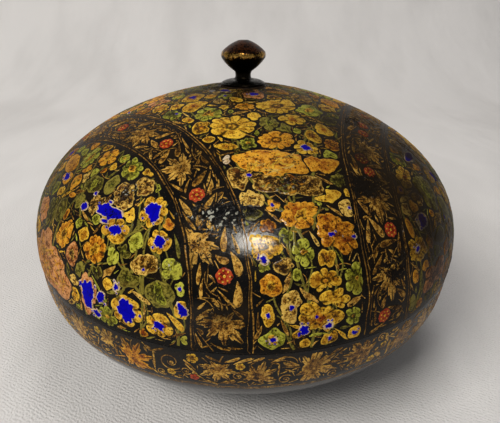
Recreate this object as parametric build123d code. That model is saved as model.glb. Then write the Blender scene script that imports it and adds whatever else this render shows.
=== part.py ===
from build123d import *
from math import acos, cos, sin
import os

# A Kashmiri papier-mache box: a round bowl and a domed lid, each one moulded shell of pasted
# paper, with a turned brass knob bolted through the crown of the lid.
# Millimetres. +Z is up, and it is the axis of every piece.
# The origin is the centre of the flat base, on the surface that the box stands on.

# The lid's shell
lid_r = 125.0             # outer radius at the edge, the widest place of the box
lid_h = 85.3              # from the edge up to the knob's seat
lid_wall = 4.5
lid_bulge = (1.6, 2.45)   # powers of the moulded curve across and up: 2 and 2 are an ellipse
seat_margin = 1.0         # flat rubbed on the crown, inside and out, beyond the knob's leather

# The bowl's shell
bowl_h = 61.0             # from the base up to the rim
bowl_floor = 6.0
bowl_bulge = (1.87, 2.9)
base_r = 52.0             # flat that the box stands on
base_edge_r = 5.0         # rounding where the side turns into the base
lid_overhang = 0.6        # how far the lid's edge stands out beyond the bowl's rim

# Rims
edge_round = 0.8          # rounding of the outer edges, which makes the dark line of the seam
inner_edge_round = 0.4

# Collar: the hoop inside the bowl's mouth
collar_wall = 2.0
collar_depth = 10.0       # below the rim
collar_rise = 7.0         # above the rim, inside the lid
collar_top_round = 0.7
collar_let_in = 0.7       # how far its seat is let into the bowl's inner face

# Knob, in heights above the underside of its foot
knob_h = 24.0
knob_top_r = 2.5          # small flat left by the lathe centre
head_r = 12.6
head_z = 16.2             # height of the head's widest line
head_edge_h = 3.8         # rounded edge on that line
head_edge_in = 0.55       # how far that edge draws in, above and below
head_swell = 0.5          # how far the head's upper face bellies out
cone_belly = 0.3          # the same for its lower face
neck_r = 4.5
neck_z = 6.2
cone_foot_r = 5.4         # where the head's lower face runs out into the neck
cone_foot_z = 7.9
foot_r = 12.7
foot_bead_h = 1.4
foot_groove = 0.35
foot_dome_top_r = 6.9     # where the foot's dome turns up into the neck
foot_dome_top_z = 3.0
foot_dome_rise = 0.3      # how far the dome bellies above its chord

# Fastening through the crown
stud_r = 1.5              # outside the thread
socket_depth = 12.0       # of the threaded hole in the knob
stud_tip = 1.4            # thread showing below the nut
stud_tip_chamfer = 0.4
leather_margin = 0.3      # how far the leather shows round the knob's foot
leather_t = 0.5
washer_r = 7.5
washer_t = 1.0
nut_across_flats = 5.5
nut_t = 2.4
nut_chamfer = 0.3

# Clearances, all radial
lid_fit = 0.7             # lid's edge over the collar
glue_gap = 0.1            # collar in its seat
thread_gap = 0.05         # thread crests stand in for the whole thread
hole_gap = 0.3            # plain holes that the stud passes through

# Sizes that follow
bowl_r = lid_r - lid_overhang
lid_inner_r = lid_r - lid_wall
collar_r = lid_inner_r - lid_fit
collar_seat_r = collar_r + glue_gap
bowl_inner_r = collar_seat_r - collar_let_in
leather_r = foot_r + leather_margin
crown_seat_r = leather_r + seat_margin
crown_z = bowl_h + lid_h
crown_inner_z = crown_z - lid_wall
knob_z = crown_z + leather_t
washer_z = crown_inner_z - washer_t
nut_z = washer_z - nut_t

curve_spans = 14          # spans of the spline along a moulded curve
same_height = 0.001       # edges this near in height count as level


def shell_curve(rim_r, flat_r, height, bulge):
    """Moulded curve from the rim, (rim_r, 0), to the edge of the flat, (flat_r, height)."""
    across, up = bulge
    rise = height / (1 - (flat_r / rim_r) ** across) ** (1 / up)
    last = acos((flat_r / rim_r) ** (across / 2))
    angles = [last * i / curve_spans for i in range(curve_spans + 1)]
    points = [(rim_r * cos(a) ** (2 / across), rise * sin(a) ** (2 / up)) for a in angles]
    flat_slope = (-rim_r * up * cos(last) ** (2 / across - 2), rise * across * sin(last) ** (2 / up - 2))
    return Spline(points, tangents=[(0, height), flat_slope])


def turned(lines):
    """Solid of revolution about Z from a closed outline in radius and height."""
    return revolve(Plane.XZ * make_face(lines), Axis.Z)


def moulded_shell(outer_r, outer_h, inner_r, inner_h, flat_r, bulge):
    """Shell with its rim on z = 0 and a flat crown or base at outer_h, which may be negative."""
    outer = shell_curve(outer_r, flat_r, outer_h, bulge)
    inner = shell_curve(inner_r, flat_r, inner_h, bulge)
    return turned([
        outer,
        Line(outer @ 1, (0, outer_h)),
        Line((0, outer_h), (0, inner_h)),
        Line((0, inner_h), inner @ 1),
        inner,
        Line(inner @ 0, outer @ 0),
    ])


def between(a, b, out, up):
    """Point halfway from a to b, moved outwards and up."""
    return ((a[0] + b[0]) / 2 + out, (a[1] + b[1]) / 2 + up)


def upright(radius, z_low, z_high):
    """Cylinder on the axis, between two heights."""
    align = (Align.CENTER, Align.CENTER, Align.MIN)
    return Pos(0, 0, z_low) * Cylinder(radius, z_high - z_low, align=align)


def circles_at(solid, z):
    """Round edges that lie at one height, smallest radius first."""
    edges = solid.edges().filter_by(GeomType.CIRCLE)
    return edges.filter_by_position(Axis.Z, z - same_height, z + same_height).sort_by(SortBy.RADIUS)


def make_lid_shell():
    shell = moulded_shell(lid_r, lid_h, lid_inner_r, lid_h - lid_wall, crown_seat_r, lid_bulge)
    shell = fillet(circles_at(shell, 0)[-1], edge_round)
    shell = fillet(circles_at(shell, 0)[0], inner_edge_round)
    shell = Pos(0, 0, bowl_h) * shell
    return shell - upright(stud_r + hole_gap, crown_inner_z, crown_z)


def make_bowl_shell():
    shell = moulded_shell(bowl_r, -bowl_h, bowl_inner_r, bowl_floor - bowl_h, base_r, bowl_bulge)
    shell -= upright(collar_seat_r, -collar_depth, 0)
    shell = fillet(circles_at(shell, 0)[-1], edge_round)
    shell = fillet(circles_at(shell, -bowl_h)[-1], base_edge_r)
    return Pos(0, 0, bowl_h) * shell


def make_rim_collar():
    hoop = upright(collar_r, bowl_h - collar_depth, bowl_h + collar_rise)
    hoop -= upright(collar_r - collar_wall, bowl_h - collar_depth, bowl_h + collar_rise)
    return fillet(circles_at(hoop, bowl_h + collar_rise), collar_top_round)


def make_knob():
    bead_r = foot_bead_h / 2
    bead_low = (foot_r - bead_r, 0)
    bead_top = (foot_r - bead_r, foot_bead_h)
    groove_low = (foot_r - bead_r - foot_groove, foot_bead_h)
    groove_top = (groove_low[0], foot_bead_h + foot_groove)
    dome_top = (foot_dome_top_r, foot_dome_top_z)
    cone_foot = (cone_foot_r, cone_foot_z)
    edge_low = (head_r - head_edge_in, head_z - head_edge_h / 2)
    edge_high = (head_r - head_edge_in, head_z + head_edge_h / 2)
    top = (knob_top_r, knob_h)
    dome = ThreePointArc(groove_top, between(groove_top, dome_top, 0, foot_dome_rise), dome_top)
    cone = ThreePointArc(cone_foot, between(cone_foot, edge_low, cone_belly, -cone_belly), edge_low)
    head = ThreePointArc(edge_high, between(edge_high, top, head_swell, head_swell), top)
    body = turned([
        Line((0, 0), bead_low),
        ThreePointArc(bead_low, (foot_r, bead_r), bead_top),
        Line(bead_top, groove_low),
        Line(groove_low, groove_top),
        dome,
        Spline([dome_top, (neck_r, neck_z), cone_foot], tangents=[dome % 1, cone % 0]),
        cone,
        ThreePointArc(edge_low, (head_r, head_z), edge_high),
        head,
        Line(top, (0, knob_h)),
        Line((0, knob_h), (0, 0)),
    ])
    return Pos(0, 0, knob_z) * (body - upright(stud_r + thread_gap, 0, socket_depth))


def make_knob_washer():
    disc = upright(leather_r, crown_z, crown_z + leather_t)
    return disc - upright(stud_r + hole_gap, crown_z, crown_z + leather_t)


def make_knob_stud():
    stud = upright(stud_r, nut_z - stud_tip, knob_z + socket_depth)
    return chamfer(circles_at(stud, nut_z - stud_tip), stud_tip_chamfer)


def make_stud_washer():
    disc = upright(washer_r, washer_z, crown_inner_z)
    return disc - upright(stud_r + hole_gap, washer_z, crown_inner_z)


def make_stud_nut():
    block = Pos(0, 0, nut_z + nut_t / 2) * Box(nut_across_flats, nut_across_flats, nut_t)
    block = chamfer(block.edges().group_by(Axis.Z)[0], nut_chamfer)
    return block - upright(stud_r + thread_gap, nut_z, washer_z)


pieces = {
    "bowl_shell": make_bowl_shell(),
    "rim_collar": make_rim_collar(),
    "lid_shell": make_lid_shell(),
    "knob_washer": make_knob_washer(),
    "knob": make_knob(),
    "knob_stud": make_knob_stud(),
    "stud_washer": make_stud_washer(),
    "stud_nut": make_stud_nut(),
}

os.makedirs("parts", exist_ok=True)
for node, piece in pieces.items():
    export_step(piece, f"parts/{node}.step")
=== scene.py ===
from math import cos, pi, radians, sin

import bpy
import numpy as np
from mathutils import Matrix, Vector


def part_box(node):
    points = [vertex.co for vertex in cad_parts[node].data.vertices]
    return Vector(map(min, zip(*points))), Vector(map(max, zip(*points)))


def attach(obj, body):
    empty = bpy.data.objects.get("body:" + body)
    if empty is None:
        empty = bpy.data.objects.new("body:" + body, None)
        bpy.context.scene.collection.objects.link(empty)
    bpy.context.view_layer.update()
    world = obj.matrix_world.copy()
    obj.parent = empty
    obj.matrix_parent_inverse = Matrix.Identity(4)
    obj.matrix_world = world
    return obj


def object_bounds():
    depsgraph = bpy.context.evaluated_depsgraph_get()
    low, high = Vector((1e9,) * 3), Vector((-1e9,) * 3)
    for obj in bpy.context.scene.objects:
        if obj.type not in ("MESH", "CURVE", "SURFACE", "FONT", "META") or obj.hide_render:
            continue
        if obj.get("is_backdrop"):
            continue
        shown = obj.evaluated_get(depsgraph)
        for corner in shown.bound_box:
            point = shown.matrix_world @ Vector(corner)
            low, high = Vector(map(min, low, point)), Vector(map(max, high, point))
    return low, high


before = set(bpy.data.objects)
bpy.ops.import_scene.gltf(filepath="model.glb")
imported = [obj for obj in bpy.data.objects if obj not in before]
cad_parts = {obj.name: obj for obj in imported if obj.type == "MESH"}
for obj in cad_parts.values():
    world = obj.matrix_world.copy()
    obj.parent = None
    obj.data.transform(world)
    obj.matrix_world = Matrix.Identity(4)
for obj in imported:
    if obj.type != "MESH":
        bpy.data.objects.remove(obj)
cad_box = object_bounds()

# Studio: a pale floor cloth that sweeps up behind the box, and large soft lamps over it.
# The camera looks down on the box from close in front, as someone does who reaches for the lid.
mm = 0.001


def linear(hex_colour):
    """sRGB hex colour to linear red, green, blue and alpha."""
    parts = [int(hex_colour[i:i + 2], 16) / 255 for i in (1, 3, 5)]
    return (*[p / 12.92 if p < 0.04045 else ((p + 0.055) / 1.055) ** 2.4 for p in parts], 1.0)


def add(tree, kind, inputs=(), out=0, **properties):
    """Adds a shader node with its settings and links, and returns one of its outputs."""
    node = tree.nodes.new("ShaderNode" + kind)
    for name, value in properties.items():
        setattr(node, name, value)
    for name, value in inputs.items() if isinstance(inputs, dict) else enumerate(inputs):
        if isinstance(value, bpy.types.NodeSocket):
            tree.links.new(value, node.inputs[name])
        else:
            node.inputs[name].default_value = value
    return node.outputs[out]


def new_material(name, sockets):
    """Material with one Principled shader. Returns it, its node tree and the shader."""
    material = bpy.data.materials.new(name)
    material.use_nodes = True
    shader = material.node_tree.nodes["Principled BSDF"]
    for socket, value in sockets.items():
        shader.inputs[socket].default_value = value
    return material, material.node_tree, shader


def connect(tree, shader, sources):
    """Links node outputs to the shader's sockets."""
    for socket, source in sources.items():
        tree.links.new(source, shader.inputs[socket])


def new_object(name, points, faces, material):
    """Smooth mesh object from points in metres."""
    mesh = bpy.data.meshes.new(name)
    mesh.from_pydata(points, [], faces)
    mesh.materials.append(material)
    mesh.shade_smooth()
    made = bpy.data.objects.new(name, mesh)
    bpy.context.scene.collection.objects.link(made)
    return made


cloth_colour = "#dcd8d4"
cloth_fold_shade = "#d0ccc8"
cloth_thread = 1.2 * mm           # threads are finer than this, and drawn wide enough to show
rib_spacing = 1.8 * mm            # ribs are under a millimetre apart, and drawn wider so that they show
rib_turn = -1.15
weave_relief = 1.2 * mm
fold_size = 0.125
fold_relief = 16 * mm
wave_repeat = pi / 10             # a wave texture of scale 1 repeats after this
sweep_start_y = 0.62
sweep_r = 0.5
sweep_top_z = 1.6
floor_half_x = 2.2
floor_front_y = -2.0

# Ribbed cotton, washed and folded: quite matt, with a fine uneven weave. Its colour is darker in the
# hollows between its folds, as painted shade.
cotton, tree, shader = new_material("pale cotton sheet", {"Roughness": 0.85, "Specular IOR Level": 0.2})
where = add(tree, "TexCoord", out="Object")
fuzz = add(tree, "TexNoise", {"Vector": where, "Scale": 1 / cloth_thread, "Detail": 2.0})
ribbed = add(tree, "Mapping", {"Vector": where, "Rotation": (0.0, 0.0, rib_turn)})
ribs = add(tree, "TexWave", {"Vector": ribbed, "Scale": wave_repeat / rib_spacing, "Distortion": 5.0,
                             "Detail": 3.0, "Detail Scale": 0.6}, 1)
weave = add(tree, "Math", [ribs, 0.13, fuzz], operation="MULTIPLY_ADD")
leaning = add(tree, "Mapping", {"Vector": where, "Rotation": (0.3, 0.2, 0.6), "Scale": (1.0, 0.4, 0.45)})
folds = add(tree, "TexNoise", {"Vector": leaning, "Scale": 1 / fold_size, "Detail": 3.5, "Roughness": 0.5})
threads = add(tree, "Bump", {"Height": weave, "Strength": 0.6, "Distance": weave_relief})
bump = add(tree, "Bump", {"Height": folds, "Strength": 0.5, "Distance": fold_relief, "Normal": threads})
# painted shade: the cloth's colour is darker where its folds sink
shade = add(tree, "MapRange", [folds, 0.35, 0.6])
lit = add(tree, "MapRange", [weave, 0.38, 0.74])
shade = add(tree, "Math", [lit, 0.4, shade], operation="MULTIPLY_ADD")
cloth = add(tree, "Mix", {0: shade, 6: linear(cloth_fold_shade), 7: linear(cloth_colour)}, 2, data_type="RGBA")
connect(tree, shader, {"Base Color": cloth, "Normal": bump})

angles = np.radians(np.linspace(-90, 0, 17))
sweep_line = [(floor_front_y, 0.0), (0.0, 0.0)]
sweep_line += [(sweep_start_y + sweep_r * cos(a), sweep_r + sweep_r * sin(a)) for a in angles]
sweep_line.append((sweep_start_y + sweep_r, sweep_top_z))
points = [(x, y, z) for y, z in sweep_line for x in (-floor_half_x, floor_half_x)]
faces = [(2 * i, 2 * i + 1, 2 * i + 3, 2 * i + 2) for i in range(len(sweep_line) - 1)]
floor = new_object("floor_sheet", points, faces, cotton)
floor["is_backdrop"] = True

frame_px = 500
focal_px = 420
sensor_mm = 36.0
optical_centre_x = 225
camera_at = (0.0, -0.2522, 0.1845)
pitch, yaw, roll = radians(25.33), radians(-2.47), radians(-0.33)
forward = Vector((sin(yaw) * cos(pitch), cos(yaw) * cos(pitch), -sin(pitch)))
level = Vector((cos(yaw), -sin(yaw), 0.0))
upright = level.cross(forward)
across = cos(roll) * level + sin(roll) * upright
over = cos(roll) * upright - sin(roll) * level
camera_data = bpy.data.cameras.new("camera")
camera_data.sensor_width = sensor_mm
camera_data.lens = focal_px / frame_px * sensor_mm
camera_data.shift_x = (frame_px / 2 - optical_centre_x) / frame_px
camera_data.clip_start = 0.01
camera = bpy.data.objects.new("camera", camera_data)
camera.matrix_world = Matrix.Translation(camera_at) @ Matrix((across, over, -forward)).transposed().to_4x4()
bpy.context.scene.collection.objects.link(camera)
bpy.context.scene.camera = camera


def lamp(name, at, aim, width, height, power, colour, highlight):
    """Soft rectangular lamp facing a point. It gives highlights in gloss, or else light on surfaces."""
    light = bpy.data.lights.new(name, "AREA")
    light.shape = "RECTANGLE"
    light.size = width
    light.size_y = height
    light.energy = power
    light.color = linear(colour)[:3]
    made = bpy.data.objects.new(name, light)
    made.location = at
    made.rotation_euler = (Vector(aim) - Vector(at)).to_track_quat("-Z", "Y").to_euler()
    made.visible_glossy = highlight
    made.visible_diffuse = not highlight
    bpy.context.scene.collection.objects.link(made)


lamp("overhead", at=(0.12, -0.8, 1.02), aim=(0, 0, 0.1), width=0.26, height=0.24, power=6.5,
     colour="#fff8ec", highlight=True)
lamp("window_left", at=(-1.45, -1.25, 1.95), aim=(-0.3, -0.7, 0), width=1.2, height=1.2, power=57,
     colour="#fffefb", highlight=False)
lamp("window_back", at=(0.2, 0.5, 2.2), aim=(0, 0, 0), width=0.8, height=0.8, power=11,
     colour="#fdfdff", highlight=False)
room_colour = "#d8dade"
room_light = 0.28
world = bpy.data.worlds.new("room")
world.use_nodes = True
background = world.node_tree.nodes["Background"]
background.inputs["Color"].default_value = linear(room_colour)
background.inputs["Strength"].default_value = room_light
bpy.context.scene.world = world
bpy.context.scene.view_settings.view_transform = "Standard"

# Lid's lacquered skin: paper pulp smoothed by hand, sized, painted black and varnished.
# It is a thin coat on the moulded shell, never quite true, and it thins out at the seam and knob.
lid_low, lid_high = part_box("lid_shell")
lid_r = lid_high.x / mm
lid_h = (lid_high.z - lid_low.z) / mm
seam_z = lid_low.z / mm
lid_bulge = (1.6, 2.45)            # powers of its curve, across and up
crown_flat_r = 14.0
crown_skin_r = 13.15               # the skin ends against the knob's leather
edge_round = 0.8                   # radius of the moulded edge at the seam
edge_arc = -1.25                   # how far round it the skin goes, in radians
curve_points = 900
skin_t = 0.16
skin_under = 0.6                   # how deep its hidden side lies in the shell
hand_wave_t = 0.11                 # unevenness of the hand-smoothed pulp
skin_turn = 360                    # columns round the box
skin_row = 1.6                     # height of a row of its mesh
feather = 1.5                      # the skin runs out to nothing over this at its end


class Shell:
    """Outside of a moulded shell, by az, the angle round its axis, and s, the length from the seam."""

    def __init__(self, rim_r, flat_r, height, bulge, side, end_r):
        across, up = bulge
        rise = height / (1 - (flat_r / rim_r) ** across) ** (1 / up)
        last = np.arccos((flat_r / rim_r) ** (across / 2))
        a = last * np.linspace(0, 1, curve_points) ** 1.6
        r = rim_r * np.cos(a) ** (2 / across)
        z = rise * np.sin(a) ** (2 / up)
        s = np.append(0, np.cumsum(np.hypot(np.diff(r), np.diff(z))))
        keep = z > edge_round
        t = np.linspace(edge_arc, 0, 8)[:-1]
        edge_r = np.interp(edge_round, z, r) - edge_round
        on_flat = [] if end_r == flat_r else [end_r]
        past_curve = [s[-1] + flat_r - r for r in on_flat]
        self.s = np.concatenate([edge_round + edge_round * t, s[keep], past_curve])
        self.r = np.concatenate([edge_r + edge_round * np.cos(t), r[keep], on_flat])
        self.z = np.concatenate([edge_round + edge_round * np.sin(t), z[keep], [height] * len(on_flat)])
        slope_r, slope_z = np.gradient(self.r, self.s), np.gradient(self.z, self.s)
        size = np.hypot(slope_r, slope_z)
        self.normal_r, self.normal_z = slope_z / size, -slope_r / size
        self.side = side
        self.end = self.s[-1]

    def radius(self, s):
        """Distance from the axis, in mm."""
        return np.interp(s, self.s, self.r)

    def wave(self, az, s):
        """Height in mm of the hand-smoothed surface over the moulded curve: slow swells round the box."""
        a = np.radians(az)
        swell = np.sin(3 * a + 1.3 + s / 31)
        swell = swell + 0.7 * np.sin(5 * a - s / 17)
        swell = swell + 0.5 * np.sin(8 * a + s / 9 + 2)
        fade = np.clip((s + 0.4) / 4, 0, 1) * np.clip((self.end - s) / feather, 0, 1)
        return (skin_t + hand_wave_t * swell / 2.2) * fade

    def at(self, az, s, lift):
        """Points in metres, at a lift in mm over the skin."""
        a = np.radians(az)
        up = lift + self.wave(az, s)
        r = self.radius(s) + up * np.interp(s, self.s, self.normal_r)
        z = np.interp(s, self.s, self.z) + up * np.interp(s, self.s, self.normal_z)
        return mm * np.stack([r * np.cos(a), r * np.sin(a), seam_z + self.side * z], axis=-1)


def write_marks(made, marks):
    """Keeps values for each point of a mesh, which its material reads."""
    for mark, values in marks.items():
        layer = made.data.attributes.new(mark, "FLOAT", "POINT")
        layer.data.foreach_set("value", values.astype(np.float32))


def make_skin(name, shell, material):
    """Closed thin coat over a shell's outside. Its rows are close at the seam and at its end."""
    corner = shell.end - crown_flat_r + crown_skin_r
    rows = np.concatenate([np.linspace(shell.s[0], 2, 8)[:-1],
                           np.linspace(2, shell.end - 3, int(shell.end / skin_row)),
                           np.linspace(shell.end - 2.5, corner, 5), [shell.end]])
    az = np.arange(skin_turn) * 360 / skin_turn
    outside = [shell.at(az, np.full(skin_turn, s), 0.0) for s in rows]
    inside = [shell.at(az, np.full(skin_turn, s), -skin_under) for s in rows[::-1][::4]]
    rings = outside + inside
    ring_s = np.concatenate([rows, rows[::-1][::4]])
    n, m = skin_turn, len(rings)
    i, j = np.meshgrid(np.arange(m), np.arange(n), indexing="ij")
    corners = [i * n + j, i * n + (j + 1) % n, (i + 1) % m * n + (j + 1) % n, (i + 1) % m * n + j]
    faces = np.stack(corners, axis=-1).reshape(-1, 4)
    if shell.side < 0:
        faces = faces[:, ::-1]
    made = new_object(name, np.concatenate(rings).tolist(), faces.tolist(), material)
    write_marks(made, age_marks(np.tile(az, m), np.repeat(ring_s, n), shell))
    return made


lid = Shell(lid_r, crown_flat_r, lid_h, lid_bulge, 1, crown_skin_r)
frieze_foot = 20.5                 # depth of the bowl's painted band

# Places where the paint is rubbed through, where the varnish is crazed or browned, and where it keeps its
# gloss. Some browned spots are painted shade: the wide ones on the lid's right side and at its left
# edge, and the bowl's first, on its right side. Each is az, s, half width and half height in mm, and
# strength.
rubbed = [(-93.2, 19, 8, 3, 0.5), (-56, 65, 12, 8, 0.8), (-78, 73, 11, 3.5, 0.5), (-120, 60, 7, 5, 0.5),
          (-121, 50, 8, 3.5, 0.5), (-95, 58, 15, 6, 0.75), (-62, 20, 8, 12, 0.45), (-88, 60, 6, 5, 0.6),
          (-58, 27, 9, 9, 0.6), (10, 40, 14, 10, 0.7), (60, 75, 16, 9, 0.7), (140, 30, 12, 12, 0.6),
          (170, 90, 14, 8, 0.7), (100, 52, 12, 8, 0.6), (-30, 100, 14, 7, 0.5)]
# crazed places, the strongest where the lamp's highlight falls; the pale chips laid there are partly
# painted glints
crazing = [(-96, 56, 15, 6.5, 0.95), (-105, 34, 8, 7, 0.6), (-120, 62, 6, 5, 0.7), (-76, 72, 12, 5, 0.7),
           (-68, 46, 9, 8, 0.5), (-57, 61, 6, 5, 0.6), (80, 60, 16, 9, 0.8), (-160, 40, 10, 12, 0.6)]
browned_and_shaded = [(-33, 55, 49, 95, 1.3), (-78, 70, 14, 5, 0.3), (-105, 86, 14, 10, 0.4), (15, 60, 50, 40, 0.5),
           (120, 95, 40, 20, 0.4), (-148, 100, 30, 22, 0.5), (-94, 18, 9, 3, 1.0), (-156, 45, 42, 60, 0.85)]
browned_and_shaded_bowl = [(-20, 8, 62, 30, 0.7), (170, 8, 50, 30, 0.4), (-128, 5, 50, 3.5, 0.9)]
glossy = [(-90, 52, 26, 20, 1.0), (-118, 60, 14, 16, 0.7), (-76, 85, 18, 9, 0.5), (-100, 14, 14, 9, 0.5),
          (40, 60, 30, 30, 0.8), (150, 50, 40, 26, 0.8)]
fingered_from = 134.0              # height where fingers that grip the knob start to rub
smoked_from = 108.0


def spots(places, az, s, shell):
    """Strength of the strongest soft spot at points of a shell."""
    total = np.zeros_like(s)
    for spot_az, spot_s, half_w, half_h, depth in places:
        across = np.radians((az - spot_az + 180) % 360 - 180) * shell.radius(s) / half_w
        total = np.maximum(total, depth * np.exp(-(across ** 2 + ((s - spot_s) / half_h) ** 2)))
    return total


def age_marks(az, s, shell):
    """What age has done at points of a shell, each 0 to 1.

    worn is paint rubbed by handling, and crazed is cracked varnish. The browning mark is varnish browned by
    smoke, and also painted shade on the lid's right side and left edge and on the bowl's right side. dulled
    is gloss that is gone. The bowl is rubbed at the seam, and its plain part keeps its gloss.
    """
    if shell.side < 0:
        worn = 0.25 * np.clip(1 - s / 3, 0, 1) + 0.12
        crazed = np.full_like(s, 0.1)
        # the bowl's varnish browned in spots, and darker on its right side as painted shade
        grime_and_shade = np.maximum(spots(browned_and_shaded_bowl, az, s, shell), 0.12)
        dulled = 0.5 * np.clip((frieze_foot + 3 - s) / 6, 0, 1)
    else:
        fingers = 0.45 * np.clip((s - fingered_from) / 14, 0, 1)
        smoke = 0.8 * np.clip((s - smoked_from) / 34, 0, 1)
        worn = np.maximum(spots(rubbed, az, s, shell), fingers)
        crazed = np.maximum(spots(crazing, az, s, shell), 0.08)
        # smoke near the knob and browned spots, and painted shade on the lid's right side and at its left
        # edge
        grime_and_shade = np.clip(np.maximum(smoke, spots(browned_and_shaded, az, s, shell)), 0, 1)
        dulled = 0.86 * (1 - spots(glossy, az, s, shell))
    return {"worn": worn, "crazed": crazed, "grime_and_shade": grime_and_shade, "dulled": dulled}


# Sizes in mm of what age does to paint under varnish. It rubs through to the ground in grainy patches,
# splits in fine cracks with pale chips between them, and browns with smoke. The pale chips are partly
# painted glints where the highlight falls on crazed varnish, and the smoke brown is partly painted shade.
# Rubbed places lose their gloss, as do places marked dulled.
rub_size = 5.0
grit = 0.9
crack_gap = 1.5
crack_chip = 0.85
smoke_cloud = 24.0
ground_black = "#0a0908"
ground_brown = "#1e160b"
ground_dust = "#3a2c16"
ageing = bpy.data.node_groups.new("aged varnish", "ShaderNodeTree")
for name, way, kind in (("Colour", "INPUT", "Color"), ("Ground", "INPUT", "Color"),
                        ("Colour", "OUTPUT", "Color"), ("Height", "OUTPUT", "Float"),
                        ("Dull", "OUTPUT", "Float"), ("Shine", "OUTPUT", "Float")):
    ageing.interface.new_socket(name, in_out=way, socket_type="NodeSocket" + kind)
chip_and_glint_pale = "#a8a594"
# brown of smoked varnish, also used for the painted shade that some browned spots lay on
smoke_and_shade_brown = "#1f160a"
given = ageing.nodes.new("NodeGroupInput").outputs
taken = ageing.nodes.new("NodeGroupOutput").inputs
worn, crazed, grime_and_shade, dulled = (add(ageing, "Attribute", out="Fac", attribute_name=mark)
                               for mark in ("worn", "crazed", "grime_and_shade", "dulled"))
place = add(ageing, "TexCoord", out="Object")
in_mm = add(ageing, "VectorMath", {0: place, 3: 1 / mm}, operation="SCALE")
patchy = add(ageing, "TexNoise", {"Vector": in_mm, "Scale": 1 / rub_size, "Detail": 6.0, "Roughness": 0.72})
gritty = add(ageing, "TexNoise", {"Vector": in_mm, "Scale": 1 / grit, "Detail": 3.0, "Roughness": 0.6})
cracks = add(ageing, "TexVoronoi", {"Vector": in_mm, "Scale": 1 / crack_gap}, feature="DISTANCE_TO_EDGE")
chips = add(ageing, "TexVoronoi", {"Vector": in_mm, "Scale": 1 / crack_chip}, "Color")
uneven = add(ageing, "Math", [patchy, 0.6], operation="MULTIPLY")
uneven = add(ageing, "Math", [gritty, 0.4, uneven], operation="MULTIPLY_ADD")
uneven = add(ageing, "Math", [worn, 0.42, uneven], operation="MULTIPLY_ADD")
rubbed_off = add(ageing, "MapRange", [uneven, 0.66, 0.72])
colour = add(ageing, "Mix", {0: rubbed_off, 6: given["Colour"], 7: given["Ground"]}, 2, data_type="RGBA")
split = add(ageing, "Math", [add(ageing, "MapRange", [cracks, 0.12, 0.02]),
                             add(ageing, "MapRange", [crazed, 0.15, 0.9])], operation="MULTIPLY")
colour = add(ageing, "Mix", {0: split, 6: colour, 7: linear(ground_black)}, 2, data_type="RGBA")
# pale chips between the cracks: partly chips of varnish, partly painted glints of the highlight
chips_and_glints = add(ageing, "SeparateColor", [chips])
chips_and_glints = add(ageing, "Math", [crazed, 0.38, chips_and_glints], operation="MULTIPLY_ADD")
chips_and_glints = add(ageing, "Math", [patchy, 0.9, chips_and_glints], operation="MULTIPLY_ADD")
chips_and_glints = add(ageing, "MapRange", [chips_and_glints, 1.62, 1.7])
colour = add(ageing, "Mix", {0: chips_and_glints, 6: colour, 7: linear(chip_and_glint_pale)}, 2, data_type="RGBA")
# smoke brown in clouds: browning of the varnish, and painted shade where the browned spots stand for it
clouds = add(ageing, "TexNoise", {"Vector": in_mm, "Scale": 1 / smoke_cloud, "Detail": 3.0})
smoked_and_shaded = add(ageing, "MapRange", [clouds, 0.38, 0.58, 0.6, 0.96])
smoked_and_shaded = add(ageing, "Math", [grime_and_shade, smoked_and_shaded], operation="MULTIPLY")
colour = add(ageing, "Mix", {0: smoked_and_shaded, 6: colour, 7: linear(smoke_and_shade_brown)}, 2, data_type="RGBA")
height = add(ageing, "Math", [rubbed_off, -0.5, patchy], operation="MULTIPLY_ADD")
height = add(ageing, "Math", [split, -0.8, height], operation="MULTIPLY_ADD")
pitted = add(ageing, "Math", [gritty, crazed], operation="MULTIPLY")
height = add(ageing, "Math", [pitted, 1.6, height], operation="MULTIPLY_ADD")
dull = add(ageing, "Math", [rubbed_off, 0.35], operation="MULTIPLY")
lost = add(ageing, "Math", [rubbed_off, 0.6], operation="MULTIPLY")
lost = add(ageing, "Math", [lost, dulled], operation="MAXIMUM")
shine = add(ageing, "Math", [1.0, lost], operation="SUBTRACT")
for name, result in (("Colour", colour), ("Height", height), ("Dull", dull), ("Shine", shine)):
    ageing.links.new(result, taken[name])


aged_relief = 0.25 * mm
varnish_ior = 1.5


def varnished(name, coat, coat_roughness, roughness, colour_of):
    """Paint or lampblack under aged varnish: matt by itself, with clear gloss where the varnish is left.

    colour_of(tree) gives the colour that the varnish lies on.
    """
    material, tree, shader = new_material(name, {"Coat Roughness": coat_roughness, "Coat IOR": varnish_ior,
                                                 "Specular IOR Level": 0.02})
    aged = add(tree, "Group", out="Colour", node_tree=ageing).node
    tree.links.new(colour_of(tree), aged.inputs["Colour"])
    aged.inputs["Ground"].default_value = linear(ground_black)
    bump = add(tree, "Bump", {"Height": aged.outputs["Height"], "Strength": 0.55, "Distance": aged_relief})
    rough = add(tree, "Math", [aged.outputs["Dull"], roughness], operation="ADD")
    shine = add(tree, "Math", [aged.outputs["Shine"], coat], operation="MULTIPLY")
    connect(tree, shader, {"Base Color": aged.outputs["Colour"], "Roughness": rough, "Coat Weight": shine,
                           "Normal": bump, "Coat Normal": bump})
    return material


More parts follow.
